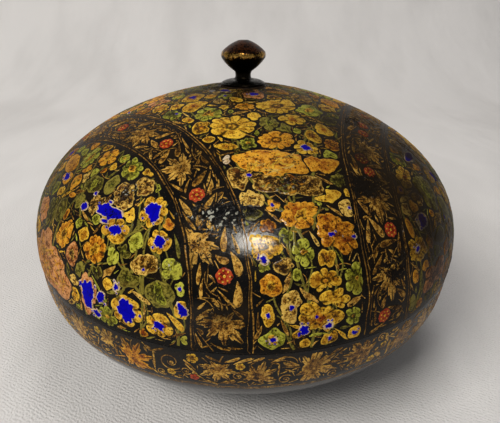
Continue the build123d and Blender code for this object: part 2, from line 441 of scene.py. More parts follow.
def lampblack(tree):
    """Lampblack ground, browner where the varnish over it has yellowed, with a little dust in it."""
    place = add(tree, "TexCoord", out="Object")
    cloudy = add(tree, "TexNoise", {"Vector": place, "Scale": 1 / (9 * mm), "Detail": 5.0})
    dusty = add(tree, "TexNoise", {"Vector": place, "Scale": 1 / (0.7 * mm), "Detail": 1.0})
    brown = add(tree, "MapRange", [cloudy, 0.45, 0.75])
    black = add(tree, "Mix", {0: brown, 6: linear(ground_black), 7: linear(ground_brown)}, 2,
                data_type="RGBA")
    dust = add(tree, "MapRange", [dusty, 0.66, 0.74])
    return add(tree, "Mix", {0: dust, 6: black, 7: linear(ground_dust)}, 2, data_type="RGBA")


black_lacquer = varnished("black lacquer, varnished", 0.8, 0.1, 0.4, lampblack)
lid_skin = make_skin("lid_lacquer_skin", lid, black_lacquer)
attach(lid_skin, "lid")

# Bowl's lacquered skin: the same coat over the bowl's outside, plain below its painted frieze.
bowl_bulge = (1.87, 2.9)
base_flat_r = 52.0
base_skin_r = 57.0                 # the skin runs out before the base rounds under
bowl_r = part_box("bowl_shell")[1].x / mm


class BowlShell(Shell):
    """The bowl's skin stops short of the base, so it ends on the curve itself."""

    def __init__(self):
        super().__init__(bowl_r, base_flat_r, seam_z, bowl_bulge, -1, base_flat_r)
        self.end = np.interp(-base_skin_r, -self.r, self.s)


bowl = BowlShell()
bowl_lacquer = varnished("black lacquer of the bowl, varnished", 0.8, 0.09, 0.4, lampblack)
bowl_skin = make_skin("bowl_lacquer_skin", bowl, bowl_lacquer)
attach(bowl_skin, "bowl")

# Painted ground plan of the lid: three tall arched panels stand on the seam, each inside a black band,
# and the flowers of the crown run down to the seam between the bands.
panel_az = (-136.0, -17.5, 102.0)
panel_half_deg = 37.0
panel_top_s = 83.5
panel_shape = (3, 2.2)             # powers of the arch: how square its shoulders are
band_w = 24.0
map_step_az = 0.5
map_step_s = 1.0


def arch_half(s):
    """Half the panel's width in degrees, at a height up the lid."""
    rise = np.clip(s / panel_top_s, 0, 1) ** panel_shape[0]
    return panel_half_deg * (1 - rise) ** (1 / panel_shape[1])


def distance_map():
    """Distance in mm from one panel's outline, negative inside it, over the lid round az 0."""
    edge_s = panel_top_s * (1 - np.linspace(1, 0, 130) ** 2)
    edge_az = arch_half(edge_s)
    edge = np.concatenate([lid.at(side * edge_az, edge_s, 0.0) for side in (-1, 1)])
    az = np.arange(-180, 180.1, map_step_az)
    s = np.arange(0, lid.end, map_step_s)
    grid_az, grid_s = np.meshgrid(az, s, indexing="ij")
    near = np.empty(grid_az.shape)
    for i in range(len(az)):
        away = lid.at(grid_az[i], grid_s[i], 0.0)[:, None] - edge[None]
        near[i] = np.sqrt((away ** 2).sum(-1).min(1)) / mm
    inside = (abs(grid_az) < arch_half(grid_s)) & (grid_s < panel_top_s)
    return np.where(inside, -near, near)


panel_map = distance_map()


def from_panel(az, s):
    """Distance in mm from the nearest panel's outline, negative inside a panel."""
    row = np.clip(s / map_step_s, 0, panel_map.shape[1] - 1.001)       # keeps a next row to blend with
    found = np.full(np.shape(s), np.inf)
    for middle in panel_az:
        column = ((az - middle + 180) % 360) / map_step_az
        i, j = column.astype(int), row.astype(int)
        f, g = column - i, row - j
        value = ((1 - f) * (1 - g) * panel_map[i, j] + f * (1 - g) * panel_map[i + 1, j]
                 + (1 - f) * g * panel_map[i, j + 1] + f * g * panel_map[i + 1, j + 1])
        found = np.minimum(found, value)
    return found


# Paint: mineral and plant colours in glue, laid in flat dabs and fine strokes that stand a little proud
# of the ground. One paint's strokes make one piece. Each point keeps how far it is from its stroke's
# edge, so that the material can draw the pale rim, the petals and the eye that the brush left. All sizes
# are in mm.
dab_t = 0.13
touch_t = 0.2                      # touches laid on top of dabs
line_t = 0.07
sunk = 0.07                        # a stroke's edge goes this far into the skin
bevel = 0.35                       # width of a dab's sloping edge
small_dab_r = 2                    # dabs smaller than this have no bevel
square = 0.5                       # side of the squares that record what is painted
full_turn = 2 * np.pi


class Painted:
    """Which squares of a shell are already painted, or are kept clear."""

    def __init__(self, shell):
        self.shell = shell
        self.map = np.zeros((int(full_turn * shell.r.max() / square), int(shell.end / square)), bool)
        self.step_az = 360 / len(self.map)

    def squares(self):
        """Angle and height of every square's middle."""
        az = (np.arange(self.map.shape[0]) + 0.5) * self.step_az
        return np.meshgrid(az, (np.arange(self.map.shape[1]) + 0.5) * square, indexing="ij")

    def at(self, az, s):
        """Is each place taken? Past the shell's ends counts as taken."""
        i = np.floor(az / self.step_az).astype(int) % self.map.shape[0]
        j = np.floor(s / square).astype(int)
        return (j < 0) | (j >= self.map.shape[1]) | self.map[i, np.clip(j, 0, self.map.shape[1] - 1)]

    def cover(self, az, s, a, radii):
        """Marks the squares under a stroke whose edge is given by radii at angles a."""
        big = radii.max()
        j = np.arange(max(int((s - big) / square), 0), min(int((s + big) / square) + 2, self.map.shape[1]))
        v = (j + 0.5) * square - s
        r = self.shell.radius(s + v)
        wide = np.degrees(big / r.min()) / self.step_az
        i = np.arange(int(np.floor(az / self.step_az - wide)), int(az / self.step_az + wide) + 2)
        u = np.radians((i + 0.5) * self.step_az - az)[:, None] * r[None]
        edge = np.interp(np.arctan2(v[None], u) % full_turn, a, radii, period=full_turn)
        self.map[np.ix_(i % self.map.shape[0], j)] |= np.hypot(u, v[None]) < edge

    def reach(self, az, s, a, far):
        """How far is free from a place each way, up to a limit."""
        t = np.arange(0.3, far + 0.6, 0.4)
        u, v = np.cos(a)[:, None] * t, np.sin(a)[:, None] * t
        taken = self.at(az + np.degrees(u / self.shell.radius(s + v)), s + v)
        taken[:, -1] = True
        return t[taken.argmax(1)] - 0.3


class Paint:
    """Strokes of one paint on one shell, gathered to be laid as one mesh."""

    def __init__(self, name, painted, body, slot, material, wear=0.0):
        self.name, self.painted, self.shell = name, painted, painted.shell
        self.body, self.slot, self.material, self.wear = body, slot, material, wear
        self.az, self.s, self.lift, self.faces = [], [], [], []
        self.marks = {mark: [] for mark in ("edge_mm", "radial", "petal", "tone", "eye")}
        self.count = 0

    def stroke(self, az, s, lift, faces, **marks):
        """Adds one stroke's points, its faces, and what the material reads at each point."""
        self.faces += [[corner + self.count for corner in face] for face in faces]
        self.az.append(az)
        self.s.append(s)
        self.lift.append(lift)
        for mark, values in self.marks.items():
            values.append(np.broadcast_to(marks.get(mark, 0.0), az.shape))
        self.count += len(az)

    def lay(self):
        """Makes the piece, which is worn at least as far as its paint wears everywhere."""
        az, s, lift = (np.concatenate(values) for values in (self.az, self.s, self.lift))
        points = self.shell.at(az, s, lift)
        made = new_object(self.name, points.tolist(), self.faces, self.material)
        marks = {mark: np.concatenate(values) for mark, values in self.marks.items()}
        marks.update(age_marks(az, s, self.shell))
        marks["worn"] = np.maximum(marks["worn"], self.wear)
        write_marks(made, marks)
        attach(made, self.body)


painted_light_pool = [(-97, 38, 16, 16, 0.5)]      # painted light: the paint round the highlight is made paler here, set out as the wear is


def dab(paint, az, s, radii, lift=dab_t, tone=0.5, petal=None, eye=0.0, angles=None):
    """One dab, a fan of faces with rings round it. radii give its edge all round its middle, in mm."""
    n = len(radii)
    # paint round the highlight is made paler: a painted pool of light
    if paint.shell is lid:
        tone = tone + spots(painted_light_pool, az, s, lid)
    a = np.arange(n) * 2 * np.pi / n if angles is None else angles
    middle = max(radii.mean(), 0.8)
    if middle > small_dab_r:
        fractions = np.array([0.45, 0.78, 1 - bevel / middle, 1.0])
        lifts = np.array([1, 0.97, 0.85, -sunk / lift]) * lift
    else:
        fractions = np.array([0.55, 1.0])
        lifts = np.array([0.9, -sunk / lift]) * lift
    rings = len(fractions)
    reach = fractions[:, None] * radii[None]
    u = np.append(0, (reach * np.cos(a)).ravel())
    v = np.append(0, (reach * np.sin(a)).ravel())
    point_s = s + v
    point_az = az + np.degrees(u / paint.shell.radius(point_s))
    k = np.arange(n)
    after = (k + 1) % n
    faces = [[0, 1 + i, 1 + (i + 1) % n] for i in range(n)]
    for inner in range(1, 1 + (rings - 1) * n, n):
        outer = inner + n
        faces += np.stack([inner + k, outer + k, outer + after, inner + after], -1).tolist()
    if paint.shell.side < 0:
        faces = [face[::-1] for face in faces]
    petal = np.ones(n) if petal is None else petal
    paint.stroke(point_az, point_s, np.append(lift, np.repeat(lifts, n)), faces,
                 edge_mm=np.append(middle, (radii[None] - reach).ravel()),
                 radial=np.append(0, np.repeat(fractions, n)),
                 petal=np.append(0, np.tile(petal, rings)), tone=tone, eye=eye)


def line(paint, az, s, width, lift=line_t, tone=0.5, closed=False):
    """A drawn line through points of the shell; width may change along it, in mm."""
    n = len(az)
    width = np.broadcast_to(width, n)
    r = paint.shell.radius(s)
    if closed:
        du = np.radians((np.roll(az, -1) - np.roll(az, 1)) % 360) * r
        dv = np.roll(s, -1) - np.roll(s, 1)
    else:
        du, dv = np.gradient(np.radians(az)) * r, np.gradient(s)
    size = np.hypot(du, dv) + 1e-9
    steps = np.array([-0.5, -0.28, 0.28, 0.5])
    lifts = np.array([-sunk, lift, lift, -sunk])
    u = -dv / size * width
    v = du / size * width
    point_s = (s[:, None] + steps * v[:, None]).ravel()
    point_az = np.repeat(az, 4) + np.degrees((steps * u[:, None]).ravel() / paint.shell.radius(point_s))
    i = np.arange(n if closed else n - 1)[:, None] * 4
    j = (i + 4) % (4 * n)
    faces = [np.stack([i + c, j + c, j + c + 1, i + c + 1], -1).reshape(-1, 4) for c in range(3)]
    faces = np.concatenate(faces)
    if paint.shell.side > 0:
        faces = faces[:, ::-1]
    paint.stroke(point_az, point_s, np.tile(lifts, n), faces.tolist(), tone=tone, petal=1.0,
                 edge_mm=np.repeat(width, 4) * np.tile([0, 0.3, 0.3, 0], n), radial=0.5)


# Sizes of what shows in a brushed dab
brush_mottle = 2.8 * mm
bristle_mark = 0.9 * mm
soak_patch = 6.5 * mm
speck_spacing = 1.7 * mm
ink_brown = "#160c05"


def brushed(deep, mid, light, stain, rim, specks, grain):
    """Colour of a dab as brushed: mottled and stained, with a pale rim, petal lines and dark specks."""
    def colour_of(tree):
        place = add(tree, "TexCoord", out="Object")
        edge, radial, petal, tone, eye = (add(tree, "Attribute", out="Fac", attribute_name=mark)
                                          for mark in ("edge_mm", "radial", "petal", "tone", "eye"))
        mottle = add(tree, "TexNoise", {"Vector": place, "Scale": 1 / brush_mottle, "Detail": 5.0,
                                        "Roughness": 0.7})
        bristle = add(tree, "TexNoise", {"Vector": place, "Scale": 1 / bristle_mark, "Distortion": 0.8})
        soak = add(tree, "TexNoise", {"Vector": place, "Scale": 1 / soak_patch, "Detail": 4.0})
        shade = add(tree, "Math", [mottle, 3.4 * grain, -0.08 - 2.6 * grain], operation="MULTIPLY_ADD")
        shade = add(tree, "Math", [bristle, 1.8 * grain, shade], operation="MULTIPLY_ADD")
        shade = add(tree, "Math", [tone, 0.75, shade], operation="MULTIPLY_ADD")
        shade = add(tree, "Math", [radial, 0.3, shade], operation="MULTIPLY_ADD")
        paler = add(tree, "MapRange", [shade, 0.0, 0.45])
        colour = add(tree, "Mix", {0: paler, 6: linear(deep), 7: linear(mid)}, 2, data_type="RGBA")
        paler = add(tree, "MapRange", [shade, 0.45, 0.95])
        colour = add(tree, "Mix", {0: paler, 6: colour, 7: linear(light)}, 2, data_type="RGBA")
        soaked = add(tree, "MapRange", [soak, 0.53, 0.66, 0.0, 0.5])
        colour = add(tree, "Mix", {0: soaked, 6: colour, 7: linear(stain)}, 2, data_type="RGBA")
        near_edge = add(tree, "MapRange", [edge, 1.0, 0.5, 0.0, rim])
        pooled = add(tree, "MapRange", [soak, 0.38, 0.5])
        pale_rim = add(tree, "Math", [near_edge, pooled], operation="MULTIPLY")
        colour = add(tree, "Mix", {0: pale_rim, 6: colour, 7: linear(light)}, 2, data_type="RGBA")
        between = add(tree, "MapRange", [petal, -0.72, -0.93])
        outward = add(tree, "MapRange", [radial, 0.35, 0.6])
        notch = add(tree, "Math", [between, outward], operation="MULTIPLY")
        ring_in = add(tree, "MapRange", [radial, 0.14, 0.2])
        ring_out = add(tree, "MapRange", [radial, 0.36, 0.28])
        ring = add(tree, "Math", [ring_in, ring_out], operation="MULTIPLY")
        ring = add(tree, "Math", [ring, eye], operation="MULTIPLY")
        dots = add(tree, "TexVoronoi", {"Vector": place, "Scale": 1 / speck_spacing}, "Distance")
        pick = add(tree, "SeparateColor", [dots.node.outputs["Color"]])
        pick = add(tree, "Math", [pick, specks], operation="LESS_THAN")
        dot = add(tree, "MapRange", [dots, 0.32, 0.2])
        dot = add(tree, "Math", [dot, pick], operation="MULTIPLY")
        nick = add(tree, "MapRange", [bristle, 0.39, 0.33, 0.0, 0.8])
        drawn = add(tree, "Math", [notch, ring], operation="MAXIMUM")
        drawn = add(tree, "Math", [drawn, dot], operation="MAXIMUM")
        drawn = add(tree, "Math", [drawn, nick], operation="MAXIMUM")
        drawn = add(tree, "Math", [drawn, 0.88], operation="MULTIPLY")
        return add(tree, "Mix", {0: drawn, 6: colour, 7: linear(ink_brown)}, 2, data_type="RGBA")
    return colour_of


varnish = 0.7                      # coat weight of the varnish left over the paint
varnish_rough = 0.11
paint_rough = 0.5
# Each paint's finish and roughness, its four colours (deep, middle, light and stained), and how strong
# its pale rim, its specks and its mottled grain are
paint_kinds = {
    # warm yellow, greasy where it lies thick
    "yellow": ("orpiment yellow, varnished", paint_rough,
               "#472a08", "#b57f18", "#ecbb3a", "#8a4a0c", 0.6, 0.5, 1),
    # hotter than the yellow, with red in its hollows
    "orange": ("yellow ochre and red lead, varnished", paint_rough,
               "#5a2906", "#b06a12", "#e6a32c", "#8a300a", 0.45, 0.5, 1),
    # thin bright green with yellow rims
    "lime": ("saffron green, varnished", paint_rough,
             "#2c2b08", "#79771c", "#b9b440", "#7d6b1c", 0.55, 0.4, 1),
    # deep green that sinks into the ground
    "olive": ("indigo green, varnished", paint_rough,
              "#191606", "#4c4613", "#8a7d30", "#4d3810", 0.6, 0.45, 1),
    # chalky pink, streaked by the brush
    "salmon": ("red earth and white, varnished", paint_rough,
               "#4f260b", "#a8662c", "#d3935a", "#84401a", 0.25, 0.35, 1.3),
    # gold colour broken up by dark flecks
    "speckled": ("gold ochre, broken up, varnished", paint_rough,
                 "#2a1a08", "#8d621d", "#e2b857", "#63300c", 0.55, 0.95, 1.35),
    # even and pale
    "cream": ("lead white and ochre, varnished", paint_rough,
              "#8a6c34", "#bd9c66", "#d9c3a2", "#b2825c", 0.3, 0.2, 1),
    # powdered gold in glue, which under old varnish has no metal shine left and looks like warm ochre
    "chinar": ("shell gold on ochre, varnished", 0.48,
               "#2f1c08", "#8f601c", "#d8a74a", "#4d2c0b", 0.1, 0.25, 1),
    # clear brick red
    "madder": ("madder red, varnished", paint_rough,
               "#4d0f05", "#94260f", "#b84a24", "#72150a", 0.3, 0.3, 1),
}
paints = {name: varnished(finish, varnish, varnish_rough, rough, brushed(*look))
          for name, (finish, rough, *look) in paint_kinds.items()}
# the oldest blue, bare of varnish: quite matt and even, and much the strongest colour on the box
paints["ultramarine"] = varnished("ultramarine, dry", 0.05, 0.4, 0.6,
                                  brushed("#050288", "#0603a2", "#0a06b2", "#04027a", 0, 0, 0.4))
rubbed_gold = 0.3                  # least wear of the gold, and of the other paints
rubbed_paint = 0.12
lid_painted = Painted(lid)
lid_paints = {name: Paint("lid_" + name + "_strokes", lid_painted, "lid", "lid_lacquer", paint,
                          rubbed_gold if name == "chinar" else rubbed_paint)
              for name, paint in paints.items()}
rng = np.random.default_rng(5)

# Gold lines that edge each band: a bold line and a hair line inside it, drawn freehand round the panels
# in shell gold. The brush lifts and runs dry, so each line is made of strokes with small breaks between
# them.
line_inset = 1.15
bold_line_w = 0.62
hair_line_w = 0.3
line_clear = 0.6                   # ground kept bare beside a line
seam_clear = 0.8                   # and above the seam
sweep_angles = np.radians(np.linspace(0.4, 179.6, 220))


def round_panel(middle, distance):
    """Points at a set distance from a panel's outline, from the seam over the arch to the seam."""
    near, far = np.zeros_like(sweep_angles), np.full_like(sweep_angles, 150.0)
    for _ in range(26):                # halves the error each time
        t = (near + far) / 2
        s = t * np.sin(sweep_angles)
        az = np.degrees(t * np.cos(sweep_angles) / lid.radius(s))
        column = np.clip((az + 180) / map_step_az, 0, panel_map.shape[0] - 1).astype(int)
        row = np.clip(s / map_step_s, 0, panel_map.shape[1] - 1).astype(int)
        outside = panel_map[column, row] > distance
        near, far = np.where(outside, near, t), np.where(outside, t, far)
    s = near * np.sin(sweep_angles)
    az = middle + np.degrees(near * np.cos(sweep_angles) / lid.radius(s))
    blur = np.ones(7) / 7
    az = np.concatenate([az[:3], np.convolve(az, blur, "valid"), az[-3:]])
    s = np.concatenate([s[:3], np.convolve(s, blur, "valid"), s[-3:]])
    return az, np.maximum(s, 0.5)


gold_lines = lid_paints["chinar"]
for middle in panel_az:
    for distance, width in ((0.0, bold_line_w), (line_inset, hair_line_w),
                            (band_w, bold_line_w), (band_w - line_inset, hair_line_w)):
        az, s = round_panel(middle, distance)
        sway = 0.25 * np.sin(s / 7 + distance) + 0.15 * np.sin(s / 2.3)
        uneven = width * (1 + 0.25 * np.sin(np.arange(len(az)) / 5.0 + distance))
        az = az + np.degrees(sway / lid.radius(s))
        start = 0
        while start < len(az) - 3:
            end = start + int(rng.integers(5, 22 if width == hair_line_w else 60))
            line(gold_lines, az[start:end], s[start:end], uneven[start:end], tone=rng.uniform(0.0, 0.4))
            start = end - 1 + int(rng.integers(0, 4 if width == hair_line_w else 2))

square_az, square_s = lid_painted.squares()
panel_distance = from_panel(square_az, square_s)
in_lines = (panel_distance > -line_clear) & (panel_distance < line_inset + 0.4)
in_lines |= (panel_distance < band_w + line_clear) & (panel_distance > band_w - line_inset - 0.4)
lid_painted.map |= in_lines | (square_s < seam_clear)

# Stems that the flowers grow on, brushed in olive before them, so that they show only in the gaps. A fan
# of them rises from the foot of each panel and of each lobe between the bands, with twigs to both sides.
stem_w = 1.3
stem_step = 0.8
stem_clear = 1.5                   # kept between a stem and the band's lines
stem_sway = 13                     # in degrees
sway_length = 9.0
twig_every = 11.0
twig_turn = 40
twig_curl = -75
crown_clear = 4.0
# The foot's offset in degrees and its height in mm, the length in mm, the direction and the curl in degrees
panel_stems = [(-27, 1, 60, 84, 34), (-17, 1, 78, 102, -34), (-7, 1, 84, 78, 40), (4, 1, 84, 112, -48),
               (13, 1, 82, 96, -36), (19, 1, 74, 64, 52), (27, 1, 62, 100, -24), (12, 26, 44, 26, 58),
               (8, 40, 50, 150, -60), (29, 18, 40, 140, -55), (34.5, 1, 72, 93, 26),
               (-34.5, 1, 72, 87, -26)]
lobe_stems = [(0, 1, 120, 96, -14), (3, 1, 60, 72, 42), (-3, 1, 64, 108, -40), (0, 44, 80, 122, -30),
              (2, 50, 74, 60, 34), (-2, 78, 70, 140, -20), (3, 84, 64, 42, 22)]


def spot_at(shell, az, s, u, v):
    """A place u mm to the right of and v mm above another on a shell."""
    return az + np.degrees(u / shell.radius(s + v)), s + v


def stem(az, s, length, turn, curl, inside, width):
    """Long curved stem with twigs. It stops where it would leave its panel or lobe."""
    t = np.linspace(0, 1, max(int(length / stem_step), 6))
    angle = np.radians(turn + curl * t + stem_sway * np.sin(length / sway_length * t + az))
    u = np.cumsum(np.cos(angle)) * length / len(t)
    v = np.cumsum(np.sin(angle)) * length / len(t)
    stem_az, stem_s = spot_at(lid, az, s, u, v)
    distance = from_panel(stem_az, np.clip(stem_s, 0, lid.end))
    out = (distance > -stem_clear) if inside else (distance < band_w + stem_clear)
    out |= stem_s > lid.end - crown_clear
    end = int(out.argmax()) if out.any() else len(t)
    if end < 6:
        return
    line(lid_paints["olive"], stem_az[:end], stem_s[:end], width * (1.2 - 0.6 * t[:end]), tone=0.4)
    if length > 2 * twig_every:
        for k, at in enumerate(np.arange(0.6 * twig_every, 0.8 * end, twig_every / stem_step)):
            i, side = int(at), 1 if k % 2 else -1
            way = turn + curl * t[i] + twig_turn * side
            stem(stem_az[i], stem_s[i], 1.3 * twig_every, way, twig_curl * side, inside, 0.75 * width)


lobe_az = [(panel_az[k] + panel_az[(k + 1) % 3]) / 2 + (180 if k == 2 else 0) for k in range(3)]
for middles, fan, inside in ((panel_az, panel_stems, True), (lobe_az, lobe_stems, False)):
    for middle in middles:
        for foot, s, length, turn, curl in fan:
            stem(middle + foot, s, length, turn, curl, inside, stem_w)

# Flowers, leaves and buds of the panels and the crown: flat dabs of colour packed close, with only a dark
# line of ground between them. Each is az, s, half width and half height in mm, and its form.
forms = {                          # petals, depth of the notches, pointedness, unevenness
    "bloom": (5, 0.3, 2.0, 0.12),
    "rose": (8, 0.2, 2.1, 0.12),
    "trefoil": (3, 0.34, 2.0, 0.12),
    "round": (0, 0.0, 2.1, 0.2),
    "leaf": (0, 0.0, 1.4, 0.16),
    "mass": (10, 0.2, 2.3, 0.3),
    "patch": (0, 0.0, 2.0, 0.3),
}
left_panel = {
    "lime": [(-144.4, 70, 5.4, 7.5, "bloom"), (-151.7, 69.5, 4.5, 3, "leaf"),
             (-129.1, 77.5, 3.6, 2.8, "leaf"), (-123.3, 73.5, 6.5, 6.5, "bloom"),
             (-135.9, 65, 2.8, 2.3, "round"), (-124.6, 46, 2.5, 2.5, "round"),
             (-129.5, 41.3, 2.5, 2.5, "round"), (-112.1, 42, 3.8, 4.5, "leaf"),
             (-116.8, 34, 3.5, 4.5, "trefoil"), (-103.2, 34, 5, 5, "trefoil"), (-100, 5, 2.5, 3, "leaf"),
             (-111.7, 67, 2.2, 2.8, "leaf")],
    "olive": [(-126, 63, 4.5, 6, "leaf"), (-132.3, 60, 6.5, 4.5, "round"), (-132.8, 50, 4, 3.5, "round"),
              (-139.3, 41.5, 5, 6, "round"), (-144.4, 37, 7, 7.5, "trefoil"),
              (-105.1, 23.5, 6.5, 5.5, "round"), (-124.8, 22.5, 3.8, 3.8, "round"),
              (-112.1, 27, 5.5, 4.2, "round")],
    "orange": [(-152, 61, 8.5, 6.5, "leaf"), (-136.2, 75, 6, 6, "bloom"), (-140.6, 56.5, 4, 5, "leaf"),
               (-135.7, 41.5, 2.2, 2.8, "round"), (-121.8, 34, 6.8, 6, "rose"),
               (-133.3, 33.5, 7, 6, "mass"), (-147.1, 55, 5.5, 4, "round")],
    "yellow": [(-117, 73.7, 3.8, 2.3, "round"), (-110.4, 56, 6.5, 7.5, "bloom"),
               (-118.1, 44.5, 8, 5.5, "bloom"), (-126.5, 38, 4, 3.5, "leaf"), (-106.8, 44, 5.5, 5, "bloom"),
               (-112.1, 13, 8, 7.5, "bloom"), (-105.1, 10, 6.5, 6, "bloom"), (-116.8, 22, 3, 3, "leaf"),
               (-100.5, 18.5, 3.8, 4, "round"), (-130.6, 71.5, 2.5, 2.5, "leaf")],
    "speckled": [(-116, 66, 5.5, 5, "round"), (-109, 34, 6, 4.5, "round"), (-120.2, 60, 7, 6, "mass")],
    "salmon": [(-140, 13, 30, 13, "patch"), (-150, 34, 9, 6, "patch"), (-122.1, 14, 5.4, 8.5, "patch")],
}
centre_lobe = {
    "lime": [(-60.8, 84, 3.4, 4.4, "leaf"), (-83.9, 103.7, 1.5, 3, "leaf"),
             (-66.1, 103.4, 2.1, 2.8, "leaf"), (-97.6, 123, 1.6, 2.8, "leaf"),
             (-110.7, 119.4, 7.4, 6.9, "bloom"), (-104.5, 120, 2, 2.5, "leaf"),
             (-77.7, 42, 5.4, 5, "trefoil"), (-79.4, 33.6, 2.2, 2.2, "round"),
             (-67.4, 28.8, 6, 6.6, "bloom"), (-84, 7.5, 5.4, 5.4, "leaf"),
             (-68.6, 13.3, 4.2, 4.2, "trefoil"), (-71.8, 61.7, 2, 2, "round")],
    "olive": [(-88, 58.3, 5, 3.3, "leaf"), (-76.9, 111.6, 5.3, 5.6, "bloom")],
    "orange": [(-84.4, 30, 4.6, 4.2, "round"), (-76.7, 57, 8.4, 6.3, "mass"), (-69.4, 47.5, 9, 8.3, "mass"),
               (-76.9, 98, 9, 6.5, "rose"), (-56.4, 90, 4.8, 4.4, "bloom"), (-81, 84, 16, 7.5, "patch"),
               (-66.5, 80, 8, 5, "patch"), (-63.1, 76.5, 4.3, 3.4, "leaf"),
               (-88.1, 128.7, 5.3, 4, "bloom")],
    "yellow": [(-86, 45, 8, 5.4, "rose"), (-85, 18.3, 3, 5, "leaf"), (-74, 30, 7, 5, "bloom"),
               (-72.6, 21.7, 7.5, 5, "bloom"), (-75.3, 15.4, 8, 6.6, "mass"), (-78, 4.2, 2.5, 2.5, "round"),
               (-73.2, 5, 3.8, 3.3, "round"), (-68, 5, 3.3, 3.3, "round"), (-62.7, 63.3, 2.6, 3.2, "round"),
               (-68.6, 64, 7.5, 3.3, "leaf"), (-94.8, 109, 11, 9.5, "rose"), (-61.3, 97.8, 3.7, 5, "round"),
               (-53.6, 101, 4, 5.3, "round"), (-95.6, 94, 6.3, 2.5, "leaf"),
               (-118.9, 111.6, 3.2, 2.5, "round"), (-83.5, 118.4, 3.3, 4, "round"),
               (-63.6, 127.5, 9.1, 9.4, "mass"), (-63.6, 113, 7.3, 5, "bloom"),
               (-148.9, 115.5, 6, 5, "bloom")],
    "speckled": [(-80.7, 21, 5, 6, "round"), (-64.5, 57, 5, 4.2, "round"), (-87.6, 65.4, 5.4, 4.2, "round"),
                 (-78, 71.5, 13, 6.0, "patch"), (-91, 76, 6, 5, "patch"), (-111.2, 133.7, 4, 3, "round")],
    "cream": [(-94.8, 85.6, 2, 3.2, "leaf")],
    "salmon": [(-65.7, 17.5, 2, 2.4, "leaf")],
}
right_panel = {
    "orange": [(-45, 48, 3, 4, "leaf"), (-39, 41, 2, 2.5, "round"), (-50, 41, 2, 6, "leaf"),
               (-52, 20, 2.7, 2.7, "round"), (-48, 22, 3, 2.6, "round"), (-29, 61, 4, 3, "leaf"),
               (-31, 75, 4, 3, "leaf")],
    "olive": [(-35, 50, 8, 10, "mass"), (-39, 30, 7, 4, "leaf"), (-53, 8, 3, 5, "leaf")],
    "salmon": [(-44, 15, 10, 6, "mass")],
    "cream": [(-44.5, 41, 4.2, 4.2, "round"), (-27, 67, 8.6, 3.2, "leaf")],
}
blue_patches = [(-147.1, 55, 3.2, 2.2), (-129.3, 56.5, 1.5, 1.3), (-130.5, 49, 2.5, 2),
                (-122.1, 51, 6.5, 3.2), (-118.1, 44.5, 3.6, 2.2), (-110.4, 56, 3.6, 4.2),
                (-122.1, 14, 3.8, 7), (-118.4, 15, 2.4, 2.8), (-119.6, 6, 2.4, 1.8), (-112.1, 13, 5, 4.6),
                (-105.1, 10, 2.4, 2.2), (-100.5, 18.5, 2.4, 2.4), (-106.8, 44, 2.6, 2.6),
                (-114.6, 22, 1.9, 1.9), (-109, 32, 1, 0.9), (-85.6, 40, 1.6, 2.6), (-85, 18.3, 1.2, 1.6),
                (-80.7, 21, 1.4, 1.6), (-78.3, 10.8, 2, 2.5), (-73.6, 11.3, 2.2, 1.8),
                (-71, 47.5, 1.8, 1.4), (-66, 45, 1.2, 1.2), (-84, 7.5, 2, 1.6), (-73.2, 5, 1.3, 1.3),
                (-68, 5, 2, 1.4), (-64.5, 57, 1, 1), (-76, 16, 1.2, 1), (-88, 77, 1.8, 1.2),
                (-44.5, 41, 3.3, 3.3), (-27, 67, 7.4, 2.3), (-23, 50, 2, 3.5), (-33, 34, 1.5, 1.5),
                (-130, 115, 1.3, 1.1)]

line_gap = 1.15                    # dark ground left round each stroke
patch_gap = 0.4
patch_turn = -0.15                 # broad patches lie a little aslant
by_hand = 0.8                      # how far a repeated flower is from the first one's place
next_lobe = 120.0
last_lobe = 238.0
lobe_middle = -76.0
low_end_s = 100                    # only the last lobe's low part repeats
blue_in_panel = 15                 # the first patches lie in the left panel, the next in the centre lobe
blue_in_lobe = 28
flowers = []                       # az, s, half width, half height, form, paint, turn


def plant(planting, shift=0.0, mirror=None, jitter=0.0):
    """Sets a panel's or lobe's flowers, shifted round the lid and mirrored about an angle."""
    for paint, plants in planting.items():
        for az, s, half_w, half_h, form in plants:
            at = (2 * mirror - az if mirror is not None else az) + shift
            move = rng.normal(0, jitter, 2) if jitter else (0.0, 0.0)
            turn = patch_turn if form == "patch" and mirror is None else 0.0
            flowers.append((at + move[0], s + move[1], half_w, half_h, form, paint, turn))


plant(left_panel)
plant(centre_lobe)
plant(right_panel)
plant(left_panel, shift=panel_az[2] - panel_az[0], mirror=panel_az[0], jitter=by_hand)
plant(centre_lobe, shift=next_lobe, jitter=by_hand)
low_part = {paint: [one for one in plants if one[1] < low_end_s] for paint, plants in centre_lobe.items()}
plant(low_part, shift=last_lobe, mirror=lobe_middle, jitter=by_hand)
blue_patches += [(2 * panel_az[0] - az + panel_az[2] - panel_az[0], s, w, h)
                 for az, s, w, h in blue_patches[:blue_in_panel] if rng.random() < 0.75]
blue_patches += [(az + next_lobe, s, w, h)
                 for az, s, w, h in blue_patches[blue_in_panel:blue_in_lobe] if rng.random() < 0.7]
flowers.sort(key=lambda flower: -flower[2] * flower[3])


def outline(half_w, half_h, point, turn, a, wobble):
    """Edge of a rounded or pointed oval, with the unevenness of a brush."""
    across, along = abs(np.cos(a - turn)) / half_w, abs(np.sin(a - turn)) / half_h
    r = (across ** point + along ** point) ** (-1 / point)
    for k in range(2, 8):
        r = r * (1 + wobble / k * rng.normal() * np.cos(k * a + rng.uniform(0, 6.3)))
    return r


heart_paints = {"yellow": "orange", "orange": "yellow", "lime": "yellow", "olive": "lime"}


